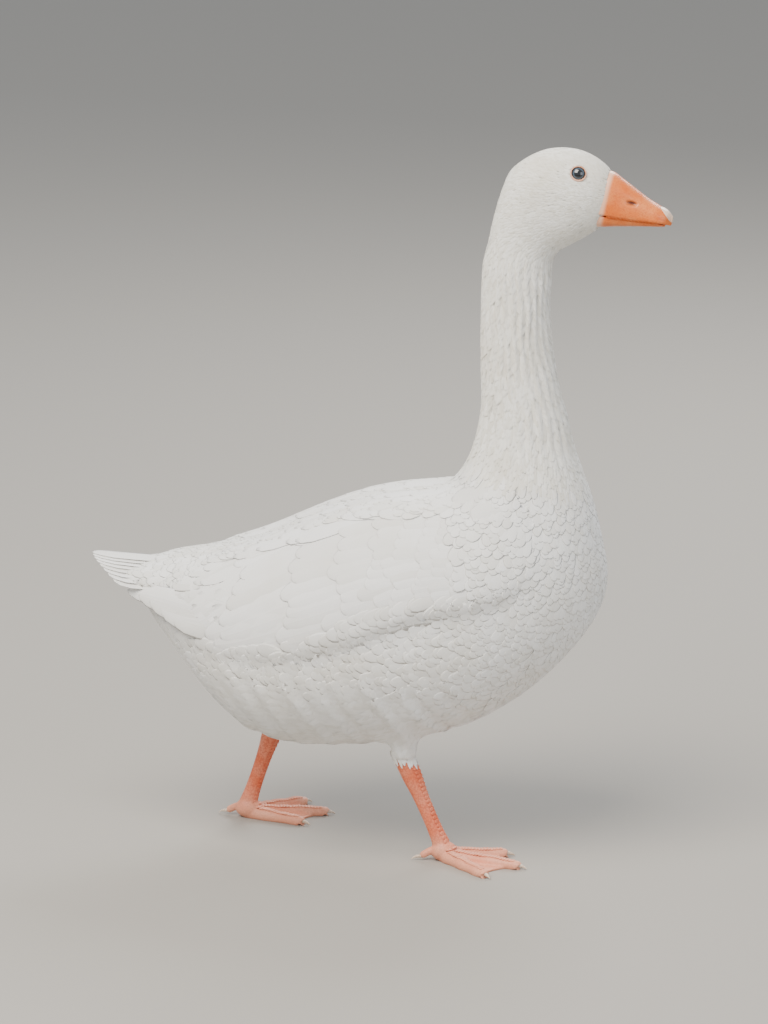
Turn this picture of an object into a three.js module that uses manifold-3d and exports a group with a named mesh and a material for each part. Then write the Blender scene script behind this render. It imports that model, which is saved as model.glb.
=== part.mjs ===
// A life-size white domestic goose, standing in mid-step with its neck upright.
// Millimetres. +X is the way the goose faces, +Y its left side, +Z up, and the soles stand on Z = 0.
// Each body part is a closed loft. Neighbours are cut apart with a thin gap, so that no two solids overlap.
import * as THREE from "three";
import { LoftGeometry } from "three/addons/geometries/LoftGeometry.js";
import { mergeVertices } from "three/addons/utils/BufferGeometryUtils.js";
import Module from "manifold-3d";

const wasm = await Module();
wasm.setup();

// ---------------------------------------------------------------- driving dimensions
const GAP = 0.35; // between neighbouring solids
const RIGHT = -1; // sign of Y on the goose's right
const LEFT = 1;

// Trunk: a spindle along X, feathers included.
// Rows: latitude in degrees, centre height, half height, half width.
const TRUNK_REAR = -215;
const TRUNK_FRONT = 207;
const TRUNK_ROWS = [
  [-90, 238, 68, 84],
  [-60, 222, 73, 94],
  [-30, 190, 99, 106],
  [0, 207, 111.5, 111],
  [30, 227, 118, 116],
  [60, 251, 124, 119],
  [90, 254, 128, 120],
];
const TRUNK_POWER = 2.25; // its sections are a little squarer than ellipses
const FINE = { rings: 20, points: 22 };
const COARSE = { rings: 12, points: 16 };
// Tail coverts: the wedge of soft feathers under the tail. Rows: X, height, half width, half height.
const RUMP_ROWS = [
  [-150, 234, 52, 26],
  [-180, 234, 50, 24],
  [-205, 238, 43, 14],
  [-228, 242, 32, 7],
  [-244, 247, 16, 2.5],
];

// Neck: level slices. Rows: height, centre X, half length, half width.
const NECK_ROWS = [
  [233, 128, 70, 82],
  [287, 126, 76, 77],
  [322, 126, 68, 64],
  [352, 131.5, 52, 51],
  [377, 132, 43, 42.5],
  [401, 131, 37, 36.5],
  [437, 127, 32.6, 31],
  [473, 124, 30.6, 28.5],
  [507, 124.5, 30, 27],
  [542, 127.5, 31, 26.5],
  [572, 134.5, 32.5, 27],
  [600, 145, 35, 28],
];
// Cuts across the neck: height on the axis, and slope in degrees.
const NECK_CUT = { low: 318, high: 540, tiltLow: -16, tiltHigh: -18 };

// Head: its own frame, s along the bill and h across it, tipped down at the front.
const HEAD_ORIGIN = new THREE.Vector3(160, 0, 593);
const HEAD_TIP_DOWN = 12; // degrees
const HEAD_BACK = -49;
const HEAD_FRONT = 56;
// Rows: latitude, centre h, half height, half width.
const HEAD_ROWS = [
  [-90, 0, 33, 31],
  [-60, -1.5, 37, 32],
  [-30, -3.4, 44.5, 30.3],
  [0, -3, 47, 29],
  [30, 2.4, 43.2, 28],
  [45, 6, 39, 26.6],
  [60, 7, 35, 26],
  [90, 7, 34, 26],
];

// Bill. Rows: s, top h, bottom h, half width.
const BILL_UPPER_ROWS = [
  [33, 31, -5.2, 17],
  [43, 32, -4.8, 18],
  [54, 27.5, -4.2, 16.8],
  [67, 21.5, -3.2, 15],
  [80, 15.8, -1.8, 13.4],
  [91, 12, -0.8, 12],
  [98, 9.4, -1, 8.6],
  [102, 6, -1.6, 3.6],
];
const BILL_LOWER_ROWS = [
  [35, -5.4, -19.5, 15.5],
  [44, -5.2, -17.2, 15],
  [57, -4.5, -13.6, 13.6],
  [72, -3.4, -9.8, 12],
  [84, -2.3, -7, 10.3],
  [92, -1.9, -5.4, 7.6],
  [97, -2.3, -4.4, 3.2],
];
const NAIL = { s: 100.5, h: 7, length: 10.5, height: 8.5, width: 7.2 }; // half sizes of the nail's oval
const EYE = { s: 15.5, h: 26, out: 16, radius: 8.3 };

// Wing: a curved plate on the trunk's side, inside an outline drawn on the side view (X, Z).
const WING_PROUD = 8;
const WING_DEPTH = 5;
const WING_MIDLINE = 20; // the two wings stop this far from the middle of the back
const WING_SHOULDER = new THREE.Vector2(163, 280);
const WING_LOWER_EDGE = [
  [130, 251],
  [54, 233],
  [-26, 200],
  [-100, 187],
  [-160, 192],
];
const WING_TIP = new THREE.Vector2(-201, 218);
const WING_UPPER_EDGE = [
  [-150, 256],
  [-70, 326],
  [60, 349],
  [140, 327],
];
// Flight-feather bundle beyond the wing.
// Rows: X, distance from the middle, height, half height, half thickness.
const PRIMARY_ROWS = [
  [-118, 88, 219, 18, 5],
  [-150, 77, 221, 19, 5],
  [-180, 63, 224, 17, 4],
  [-205, 50, 227, 11, 3],
  [-218, 44, 229, 4.5, 1.4],
];

// Tail: a cambered fan. Rows: X, height, half width, half thickness, droop at the sides.
const TAIL_ROWS = [
  [-165, 246, 36, 6, 5],
  [-195, 249, 43, 5, 8],
  [-222, 251, 42, 3.4, 9],
  [-244, 252.5, 31, 2, 6],
  [-257.5, 253.5, 12, 1, 1.5],
];

// Legs. Each has its own hock and toe root; the rest is shared.
const LEGS = {
  right: { y: RIGHT, knee: [36, 60, 165], hock: [34, 51, 92], toes: [69, 51, 11], heading: 12 },
  left: { y: LEFT, knee: [-34, 62, 165], hock: [-100, 51, 96], toes: [-128, 50, 12], heading: 13 },
};
const THIGH_RADII = [46, 44, 36, 24, 14, 11];
const SHANK_RADII = [9.2, 8.6, 7, 6.4, 6.6, 8]; // fore and aft, from hock to toe root
const SHANK_SIDE = 0.78; // breadth over fore-and-aft depth
const TOES = [
  { name: "inner", turn: 31, length: 54 },
  { name: "middle", turn: -1, length: 69 },
  { name: "outer", turn: -34, length: 62 },
];
const TOE_ROOT = 6.2;
const TOE_TIP = 3.9;
const WEB_THICKNESS = 2.6;
const CLAW_LENGTH = 11;
const HIND_TOE = { rise: 10.5, length: 20, radius: 3.6, inward: 24 };

// ---------------------------------------------------------------- lofting
const rad = THREE.MathUtils.degToRad;
const vec = (x, y, z) => new THREE.Vector3(x, y, z);

// A smooth function through rows [t, value, value, ...].
function through(rows) {
  const size = rows[0].length - 1;
  const rising = [...rows].sort((a, b) => a[0] - b[0]);
  const curve = new THREE.CubicInterpolant(
    rising.map((row) => row[0]),
    rising.flatMap((row) => row.slice(1)),
    size,
    new Float64Array(size),
  );
  return (t) => [...curve.evaluate(t)];
}

// One closed section round a centre, in the plane of side and up.
// across, above and below are half sizes; power 2 is an ellipse, more is squarer; sag lowers its sides.
function section(centre, side, up, across, above, below, points, power = 2, sag = 0) {
  const made = [];
  for (let i = 0; i < points; i++) {
    const angle = (i / points) * Math.PI * 2;
    const c = Math.cos(angle);
    const s = Math.sin(angle);
    const u = across * Math.sign(c) * Math.abs(c) ** (2 / power);
    const v = (s > 0 ? above : below) * Math.sign(s) * Math.abs(s) ** (2 / power);
    made.push(centre.clone().addScaledVector(side, u).addScaledVector(up, v - sag * c * c));
  }
  return made;
}

function solidOf(geometry) {
  const bare = new THREE.BufferGeometry().copy(geometry);
  bare.deleteAttribute("normal");
  bare.deleteAttribute("uv");
  const merged = mergeVertices(bare, 1e-4);
  return new wasm.Manifold(
    new wasm.Mesh({
      numProp: 3,
      vertProperties: new Float32Array(merged.attributes.position.array),
      triVerts: new Uint32Array(merged.index.array),
    }),
  );
}

const loft = (sections) =>
  solidOf(new LoftGeometry(sections, { closed: true, capStart: true, capEnd: true }));

const join = (solids) => solids.reduce((all, one) => all.add(one));
const cut = (solid, ...tools) => tools.reduce((left, tool) => left.subtract(tool), solid);

// A loft along a smooth path. radii gives half sizes [across, up] at each share of the path.
function limb(path, radii, { points = 12, steps = 10, up = vec(0, 0, 1), grow = 0 } = {}) {
  const curve = new THREE.CatmullRomCurve3(path);
  const sections = [];
  for (let i = 0; i <= steps; i++) {
    const t = i / steps;
    const along = curve.getTangent(t);
    const side = up.clone().cross(along).normalize();
    const [across, high] = radii(t).map((r) => r + grow);
    const end = i === 0 ? -grow : i === steps ? grow : 0;
    const centre = curve.getPoint(t).addScaledVector(along, end);
    sections.push(section(centre, side, along.clone().cross(side), across, high, high, points));
  }
  return loft(sections);
}

// ---------------------------------------------------------------- trunk and neck
const FORWARD = vec(1, 0, 0);
const ACROSS = vec(0, 1, 0);
const UP = vec(0, 0, 1);
const trunkProfile = through(TRUNK_ROWS);
const LAST_LATITUDE = 86;

// swell(x, angle) is added to the trunk's surface; angle is 0 at the side and 90 on the back.
function trunkSolid(swell = () => 0, { rings, points } = FINE) {
  const middle = (TRUNK_FRONT + TRUNK_REAR) / 2;
  const reach = (TRUNK_FRONT - TRUNK_REAR) / 2;
  const sections = [];
  for (let i = 0; i <= rings; i++) {
    const latitude = THREE.MathUtils.lerp(-LAST_LATITUDE, LAST_LATITUDE, i / rings);
    const [height, high, wide] = trunkProfile(latitude);
    const share = Math.cos(rad(latitude));
    const x = middle + reach * Math.sin(rad(latitude));
    const centre = vec(x, 0, height);
    const ring = section(centre, ACROSS, UP, wide * share, high * share, high * share, points, TRUNK_POWER);
    for (const p of ring) {
      const away = vec(0, p.y, p.z - height).normalize();
      const angle = THREE.MathUtils.radToDeg(Math.atan2(away.z, Math.abs(away.y)));
      p.addScaledVector(away, swell(x, angle) * Math.min(1, 3 * share));
    }
    sections.push(ring);
  }
  return loft(sections);
}

const neckProfile = through(NECK_ROWS);
const NECK_STEPS = 13;

function neckSolid(grow = 0) {
  const sections = [];
  const low = NECK_ROWS[0][0];
  const high = NECK_ROWS.at(-1)[0];
  for (let i = 0; i <= NECK_STEPS; i++) {
    const z = THREE.MathUtils.lerp(low, high, i / NECK_STEPS);
    const [x, long, wide] = neckProfile(z);
    const end = i === 0 ? -grow : i === NECK_STEPS ? grow : 0;
    const [a, b] = [long + grow, wide + grow];
    sections.push(section(vec(x, 0, z + end), FORWARD, ACROSS, a, b, b, 18));
  }
  return loft(sections);
}

// Everything above a plane that crosses the neck's axis at a height.
// It slopes up towards the front by tilt degrees.
function above(z, tilt) {
  const size = 900;
  const box = new THREE.BoxGeometry(size, size, size).translate(0, 0, size / 2);
  const [x] = neckProfile(z);
  return solidOf(box.rotateY(-rad(tilt)).translate(x, 0, z));
}

// ---------------------------------------------------------------- head, bill and eyes
const headProfile = through(HEAD_ROWS);
const headForward = vec(Math.cos(rad(HEAD_TIP_DOWN)), 0, -Math.sin(rad(HEAD_TIP_DOWN)));
const headUp = vec(Math.sin(rad(HEAD_TIP_DOWN)), 0, Math.cos(rad(HEAD_TIP_DOWN)));
const onHead = (s, y, h) =>
  HEAD_ORIGIN.clone().addScaledVector(headForward, s).addScaledVector(ACROSS, y).addScaledVector(headUp, h);

function headSolid() {
  const sections = [];
  const middle = (HEAD_FRONT + HEAD_BACK) / 2;
  const reach = (HEAD_FRONT - HEAD_BACK) / 2;
  const rings = 12;
  for (let i = 0; i <= rings; i++) {
    const latitude = THREE.MathUtils.lerp(-LAST_LATITUDE, LAST_LATITUDE, i / rings);
    const [h, high, wide] = headProfile(latitude);
    const share = Math.cos(rad(latitude));
    const centre = onHead(middle + reach * Math.sin(rad(latitude)), 0, h);
    sections.push(section(centre, ACROSS, headUp, wide * share, high * share, high * share, 18, 2.1));
  }
  return loft(sections);
}

// Half of the bill: its biting edge is low on the upper half and high on the lower half.
function billHalf(rows, edgeShare, grow = 0) {
  const profile = through(rows);
  const first = rows[0][0];
  const last = rows.at(-1)[0];
  const steps = 8;
  const sections = [];
  for (let i = 0; i <= steps; i++) {
    const s = THREE.MathUtils.lerp(first, last, i / steps);
    const [top, bottom, wide] = profile(s);
    const edge = THREE.MathUtils.lerp(bottom, top, edgeShare);
    const centre = onHead(s + (i === steps ? grow : 0), 0, edge);
    const [across, above, below] = [wide, top - edge, edge - bottom].map((half) => half + grow);
    sections.push(section(centre, ACROSS, headUp, across, above, below, 14, 2.25));
  }
  return loft(sections);
}

const UPPER_EDGE = 0.16;
const LOWER_EDGE = 0.84;

const oval = (centre, x, y, z, tip = 0) =>
  solidOf(new THREE.SphereGeometry(1, 12, 8).scale(x, y, z).rotateY(rad(tip)).translate(...centre.toArray()));

const nailOval = (grow) =>
  oval(onHead(NAIL.s, 0, NAIL.h), NAIL.length + grow, NAIL.width + grow, NAIL.height + grow, HEAD_TIP_DOWN);

const eyeBall = (sign, grow = 0) => {
  const r = EYE.radius + grow;
  return oval(onHead(EYE.s, sign * EYE.out, EYE.h), r, r, r);
};

// ---------------------------------------------------------------- wings
const smooth = THREE.MathUtils.smoothstep;

// How far the folded wing stands out of the trunk: most on the upper side, easing off at each edge.
function wingSwell(x, angle) {
  const fore = 1 - smooth(x, 110, 172);
  const aft = 0.45 + 0.55 * smooth(x, -190, -60);
  const round = 0.3 + 0.7 * smooth(angle, -16, 26) - 0.45 * smooth(angle, 58, 88);
  return WING_PROUD * fore * aft * round;
}

function wingPrism(sign) {
  const outline = new THREE.Shape();
  outline.moveTo(WING_SHOULDER.x, WING_SHOULDER.y);
  outline.splineThru([...WING_LOWER_EDGE.map((p) => new THREE.Vector2(...p)), WING_TIP]);
  outline.splineThru([...WING_UPPER_EDGE.map((p) => new THREE.Vector2(...p)), WING_SHOULDER]);
  const depth = 200;
  const prism = new THREE.ExtrudeGeometry(outline, { depth, bevelEnabled: false, curveSegments: 4 });
  prism.rotateX(Math.PI / 2); // drawn in X and Z, and running towards -Y
  prism.translate(0, -WING_MIDLINE, 0);
  if (sign > 0) prism.translate(0, depth + 2 * WING_MIDLINE, 0);
  return solidOf(prism);
}

function primaryBundle(sign, grow = 0) {
  const profile = through(PRIMARY_ROWS);
  const first = PRIMARY_ROWS[0][0];
  const last = PRIMARY_ROWS.at(-1)[0];
  const steps = 8;
  const sections = [];
  for (let i = 0; i <= steps; i++) {
    const x = THREE.MathUtils.lerp(first, last, i / steps);
    const [out, z, high, thick] = profile(x);
    const end = i === 0 ? grow : i === steps ? -grow : 0;
    const centre = vec(x + end, sign * out, z);
    sections.push(section(centre, vec(0, -1, 0), UP, thick + grow, high + grow, high + grow, 8));
  }
  return loft(sections);
}

// ---------------------------------------------------------------- tail and its coverts
// A flattened loft running back from the rump.
function rearward(rows, steps, grow = 0) {
  const profile = through(rows);
  const first = rows[0][0];
  const last = rows.at(-1)[0];
  const sections = [];
  for (let i = 0; i <= steps; i++) {
    const x = THREE.MathUtils.lerp(first, last, Math.sin((i / steps) * (Math.PI / 2)));
    const [z, wide, high, droop = 0] = profile(x);
    const end = i === 0 ? grow : i === steps ? -grow : 0;
    const centre = vec(x + end, 0, z);
    sections.push(section(centre, vec(0, -1, 0), UP, wide + grow, high + grow, high + grow, 14, 2, droop));
  }
  return loft(sections);
}

const tailSolid = (grow = 0) => rearward(TAIL_ROWS, 9, grow);
const rumpSolid = () => rearward(RUMP_ROWS, 7);

// ---------------------------------------------------------------- legs and feet
const mirrored = ([x, y, z], sign) => vec(x, sign * y, z);

// Half sizes along a limb, from a list of radii at equal shares.
function taper(radii, flat = 1) {
  const profile = through(radii.map((r, i) => [i / (radii.length - 1), r]));
  return (t) => {
    const [r] = profile(t);
    return [r * flat, r];
  };
}

function thighSolid(leg, grow = 0) {
  const path = [mirrored(leg.knee, leg.y), mirrored(leg.hock, leg.y)];
  path.splice(1, 0, path[0].clone().lerp(path[1], 0.5));
  return limb(path, taper(THIGH_RADII), { points: 12, steps: 5, up: FORWARD, grow });
}

function shankSolid(leg, grow = 0) {
  const hock = mirrored(leg.hock, leg.y);
  const toes = mirrored(leg.toes, leg.y);
  const path = [hock, hock.clone().lerp(toes, 0.5), toes];
  return limb(path, taper(SHANK_RADII, SHANK_SIDE), { points: 10, steps: 5, up: FORWARD, grow });
}

// A point of the foot: forward along a toe's own direction from the toe root, at a height.
function onFoot(leg, turn, forward, z, sideways = 0) {
  const direction = rad((leg.heading - turn) * leg.y);
  const root = mirrored(leg.toes, leg.y);
  return vec(
    root.x + forward * Math.cos(direction) - sideways * Math.sin(direction),
    root.y + forward * Math.sin(direction) + sideways * Math.cos(direction),
    z,
  );
}

const aboveFloor = (solid) => {
  const size = 900;
  return solid.intersect(solidOf(new THREE.BoxGeometry(size, size, size).translate(0, 0, size / 2)));
};

function toeSolid(leg, toe, grow) {
  const radius = (t) => THREE.MathUtils.lerp(TOE_ROOT, TOE_TIP, t) + 0.7 * Math.sin(t * Math.PI * 3) ** 2;
  const path = [0, 0.35, 0.7, 1].map((t) => onFoot(leg, toe.turn, t * toe.length, 0.72 * radius(t)));
  return limb(path, (t) => [radius(t), radius(t)], { points: 6, steps: 4, grow });
}

// The web reaches from toe tip to toe tip, with its free edge curved in.
function webSolid(leg, grow) {
  const [inner, middle, outer] = TOES;
  const reach = 0.93;
  const tip = (toe) => onFoot(leg, toe.turn, toe.length * reach, 0);
  const between = (a, b) => onFoot(leg, (a.turn + b.turn) / 2, ((a.length + b.length) / 2) * 0.8, 0);
  const heel = onFoot(leg, 0, -3, 0);
  const shape = new THREE.Shape();
  const curveTo = (control, end) => shape.quadraticCurveTo(control.x, control.y, end.x, end.y);
  shape.moveTo(heel.x, heel.y);
  shape.lineTo(tip(inner).x, tip(inner).y);
  curveTo(between(inner, middle), tip(middle));
  curveTo(between(middle, outer), tip(outer));
  shape.closePath();
  const depth = WEB_THICKNESS + grow;
  return solidOf(new THREE.ExtrudeGeometry(shape, { depth, bevelEnabled: false, curveSegments: 5 }));
}

function footSolid(leg, grow = 0) {
  const ball = oval(onFoot(leg, 0, 1, 8.5), 12 + grow, 9.4 + grow, 9.2 + grow);
  return aboveFloor(join([ball, webSolid(leg, grow), ...TOES.map((toe) => toeSolid(leg, toe, grow))]));
}

function hindToe(leg, grow = 0) {
  const { rise, length, radius, inward } = HIND_TOE;
  const root = onFoot(leg, inward, 1, rise);
  const end = onFoot(leg, inward, -length, radius);
  const path = [root, root.clone().lerp(end, 0.5).add(vec(0, 0, 2)), end];
  return limb(path, (t) => [radius * (1 - 0.1 * t), radius * (1 - 0.1 * t)], { points: 6, steps: 3, grow });
}

// Where each claw of a foot leaves its toe, which way it points, and its size against the front claws.
function claws(leg) {
  const heading = (turn, way) => onFoot(leg, turn, way, 0).sub(onFoot(leg, turn, 0, 0));
  const front = TOES.map(({ name, turn, length }) => {
    return { name, start: onFoot(leg, turn, length, TOE_TIP * 0.95), direction: heading(turn, 1), size: 1 };
  });
  const { inward, length, radius } = HIND_TOE;
  const start = onFoot(leg, inward, -length, radius);
  return [...front, { name: "hind", start, direction: heading(inward, -1), size: 0.72 }];
}

// A claw leaves the toe's tip and curves down to the floor.
function clawSolid({ start, direction, size }, grow = 0) {
  const reach = CLAW_LENGTH * size;
  const at = (share, fall) => start.clone().addScaledVector(direction, share * reach).add(vec(0, 0, -fall));
  const path = [at(-0.35, -0.3), at(0.3, 0), at(0.7, 0.8), at(1, 2.6)];
  const radii = (t) => [2.5 * size * (1 - 0.78 * t), 2.7 * size * (1 - 0.75 * t)];
  return aboveFloor(limb(path, radii, { points: 6, steps: 4, grow }));
}

// ---------------------------------------------------------------- materials
const material = (color, roughness) => new THREE.MeshStandardMaterial({ color, roughness, metalness: 0 });
const FEATHER = material(0xe9e7e0, 0.85);
const BILL_SKIN = material(0xd97a3a, 0.45);
const LEG_SKIN = material(0xd8735a, 0.55);
const HORN = material(0xe6d3bd, 0.4);
const CORNEA = material(0x20262c, 0.05);

const goose = new THREE.Group();

function place(name, solid, finish) {
  const { vertProperties, triVerts, numProp } = solid.getMesh();
  const count = vertProperties.length / numProp;
  const positions = new Float32Array(count * 3);
  for (let i = 0; i < count; i++) positions.set(vertProperties.subarray(i * numProp, i * numProp + 3), i * 3);
  const geometry = new THREE.BufferGeometry()
    .setAttribute("position", new THREE.BufferAttribute(positions, 3))
    .setIndex(new THREE.BufferAttribute(new Uint32Array(triVerts), 1));
  geometry.computeVertexNormals();
  const mesh = new THREE.Mesh(geometry, finish);
  mesh.name = name;
  goose.add(mesh);
}

// ---------------------------------------------------------------- assembly
const sides = { right: RIGHT, left: LEFT };
const wings = {};
const wingRoom = {};
for (const [side, sign] of Object.entries(sides)) {
  const prism = wingPrism(sign);
  const hollow = (depth) => trunkSolid(() => -depth, COARSE);
  const shell = trunkSolid(wingSwell).subtract(hollow(WING_DEPTH)).intersect(prism);
  wings[side] = cut(shell, primaryBundle(sign, GAP), tailSolid(GAP), neckSolid(GAP));
  const around = trunkSolid(() => 3 * WING_PROUD, COARSE);
  wingRoom[side] = around.subtract(hollow(WING_DEPTH + GAP)).intersect(prism);
  const bundle = cut(primaryBundle(sign), tailSolid(GAP));
  place(`wing_${side}_primaries`, bundle, FEATHER);
}

// The flesh of trunk, neck and head is one body, parted by two planes across the neck.
const flesh = join([trunkSolid(), rumpSolid(), neckSolid(), headSolid()]);
const aboveLow = above(NECK_CUT.low, NECK_CUT.tiltLow);
const aboveHigh = above(NECK_CUT.high, NECK_CUT.tiltHigh);
const clearOfLow = above(NECK_CUT.low + GAP, NECK_CUT.tiltLow);
const clearOfHigh = above(NECK_CUT.high + GAP, NECK_CUT.tiltHigh);

const thighs = Object.values(LEGS).map((leg) => thighSolid(leg, GAP));
const shanks = Object.values(LEGS).map((leg) => shankSolid(leg, GAP));
const bundles = Object.values(sides).map((sign) => primaryBundle(sign, GAP));
place(
  "trunk",
  cut(flesh, aboveLow, tailSolid(GAP), ...Object.values(wingRoom), ...bundles, ...thighs, ...shanks),
  FEATHER,
);
place("neck", flesh.intersect(clearOfLow).subtract(aboveHigh), FEATHER);

const billUpper = billHalf(BILL_UPPER_ROWS, UPPER_EDGE);
const billLower = billHalf(BILL_LOWER_ROWS, LOWER_EDGE);
place(
  "head",
  cut(
    flesh.intersect(clearOfHigh),
    billHalf(BILL_UPPER_ROWS, UPPER_EDGE, GAP),
    billHalf(BILL_LOWER_ROWS, LOWER_EDGE, GAP),
    eyeBall(RIGHT, GAP),
    eyeBall(LEFT, GAP),
  ),
  FEATHER,
);
place("bill_upper", billUpper.subtract(nailOval(GAP)), BILL_SKIN);
place("bill_nail", billUpper.intersect(nailOval(0)), HORN);
place("bill_lower", billLower.subtract(billHalf(BILL_UPPER_ROWS, UPPER_EDGE, GAP)), BILL_SKIN);
place("tail", tailSolid(), FEATHER);

for (const [side, sign] of Object.entries(sides)) {
  place(`eye_${side}`, eyeBall(sign), CORNEA);
  place(`wing_${side}`, cut(wings[side], ...(side === "right" ? [thighs[0]] : [thighs[1]])), FEATHER);
}

for (const [side, leg] of Object.entries(LEGS)) {
  const nails = claws(leg);
  const clawRoom = nails.map((claw) => clawSolid(claw, GAP));
  place(`thigh_${side}`, cut(thighSolid(leg), shankSolid(leg, GAP)), FEATHER);
  place(`shank_${side}`, cut(shankSolid(leg), footSolid(leg, GAP), hindToe(leg, GAP)), LEG_SKIN);
  place(`hind_toe_${side}`, cut(hindToe(leg), footSolid(leg, GAP), clawRoom[3]), LEG_SKIN);
  place(`foot_${side}`, cut(footSolid(leg), ...clawRoom), LEG_SKIN);
  for (const claw of nails) place(`claw_${side}_${claw.name}`, clawSolid(claw), HORN);
}

// The origin is the middle of the goose's box, on the floor.
const box = new THREE.Box3().setFromObject(goose);
const middle = box.getCenter(vec(0, 0, 0));
goose.position.set(-middle.x, -middle.y, -box.min.z);

export default goose;
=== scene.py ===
"""A life-size white domestic goose, standing in mid-step, with every feather tract laid over one skin.

The goose faces +X, its left side is +Y and the floor is Z = 0.
Shapes are worked out in millimetres, in the drawing frame of the solids.
They turn into metres in the part's own frame only where a mesh is made.
"""

import math

import bpy
import numpy as np
from mathutils import Matrix, Vector
from mathutils.bvhtree import BVHTree
from mathutils.kdtree import KDTree


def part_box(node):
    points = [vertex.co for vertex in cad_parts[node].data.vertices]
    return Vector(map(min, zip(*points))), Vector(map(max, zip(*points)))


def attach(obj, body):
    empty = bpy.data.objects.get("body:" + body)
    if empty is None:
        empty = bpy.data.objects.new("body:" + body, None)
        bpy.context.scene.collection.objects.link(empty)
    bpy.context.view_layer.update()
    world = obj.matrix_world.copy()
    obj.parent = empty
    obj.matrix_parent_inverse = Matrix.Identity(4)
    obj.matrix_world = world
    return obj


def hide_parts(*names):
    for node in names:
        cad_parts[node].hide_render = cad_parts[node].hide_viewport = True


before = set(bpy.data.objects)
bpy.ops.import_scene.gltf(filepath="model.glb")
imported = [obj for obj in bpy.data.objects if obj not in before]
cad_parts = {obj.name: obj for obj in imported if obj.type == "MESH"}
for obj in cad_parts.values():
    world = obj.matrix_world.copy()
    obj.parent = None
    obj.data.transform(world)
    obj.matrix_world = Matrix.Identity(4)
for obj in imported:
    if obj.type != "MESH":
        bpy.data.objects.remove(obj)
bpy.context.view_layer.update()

# ------------------------------------------------------------------ frame and camera
MM = 0.001
TAIL_TIP = -257.5  # drawing X of the rearmost point
SHIFT = np.array([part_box("tail")[0][0] / MM - TAIL_TIP, 0, 0])  # from drawing X to the part's X
SIDES = {"right": -1, "left": 1}  # sign of Y

CAMERA_AIM = Vector((0.00525, 0, 0.303))
CAMERA_AZIMUTH = 10  # degrees
CAMERA_ELEVATION = 13.8
CAMERA_DISTANCE = 5.24  # metres
CAMERA_LENS, CAMERA_SENSOR = 208, 36  # millimetres
CAMERA_FAR = 60  # metres


def aimed(name, data, place):
    """A camera or a lamp at a place, turned to look at the goose."""
    seen = bpy.data.objects.new(name, data)
    seen.location = place
    seen.rotation_mode = "QUATERNION"
    seen.rotation_quaternion = (CAMERA_AIM - place).to_track_quat("-Z", "Y")
    bpy.context.scene.collection.objects.link(seen)
    return seen


azimuth, elevation = math.radians(CAMERA_AZIMUTH), math.radians(CAMERA_ELEVATION)
level_reach = math.cos(elevation)
towards_camera = Vector(
    (math.sin(azimuth) * level_reach, -math.cos(azimuth) * level_reach, math.sin(elevation))
)
view = bpy.data.cameras.new("camera")
view.lens = CAMERA_LENS
view.sensor_width = CAMERA_SENSOR
view.clip_end = CAMERA_FAR
bpy.context.scene.camera = aimed("camera", view, CAMERA_AIM + towards_camera * CAMERA_DISTANCE)


# ------------------------------------------------------------------ materials
def colour(code):
    """Linear RGBA of an sRGB hex colour."""
    parts = [int(code[i : i + 2], 16) / 255 for i in (1, 3, 5)]
    return (*[c / 12.92 if c <= 0.04045 else ((c + 0.055) / 1.055) ** 2.4 for c in parts], 1)


def add_node(tree, kind, inputs=(), **settings):
    """Adds a node to a tree. inputs maps a socket's name or number to a value or an output socket."""
    node = tree.nodes.new(kind)
    for name, value in settings.items():
        setattr(node, name, value)
    for name, value in dict(inputs).items():
        if isinstance(value, bpy.types.NodeSocket):
            tree.links.new(value, node.inputs[name])
        else:
            node.inputs[name].default_value = value
    return node


def new_material(name, **finish):
    """A material with one shader. finish sets the shader's own sockets, spaces written as underscores."""
    material = bpy.data.materials.new(name)
    material.use_nodes = True
    shader = material.node_tree.nodes["Principled BSDF"]
    for socket, value in finish.items():
        shader.inputs[socket.replace("_", " ")].default_value = value
    return material, material.node_tree, shader


def painted(tree, base, coats):
    """Colour output of coats laid over a base colour. Each coat is a share from 0 to 1 and a colour."""
    for share, tone in coats:
        mixed = add_node(tree, "ShaderNodeMix", {0: share, 6: base, 7: colour(tone)}, data_type="RGBA")
        base = mixed.outputs[2]
    return base


CLOUDS_PER_METRE = 22  # clouds of stain in the plumage, about 45 mm across
MOTTLES_PER_METRE = 70  # colour clouds of bare skin and horn, about 14 mm across
BARB_RELIEF = 0.25  # millimetres


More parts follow.
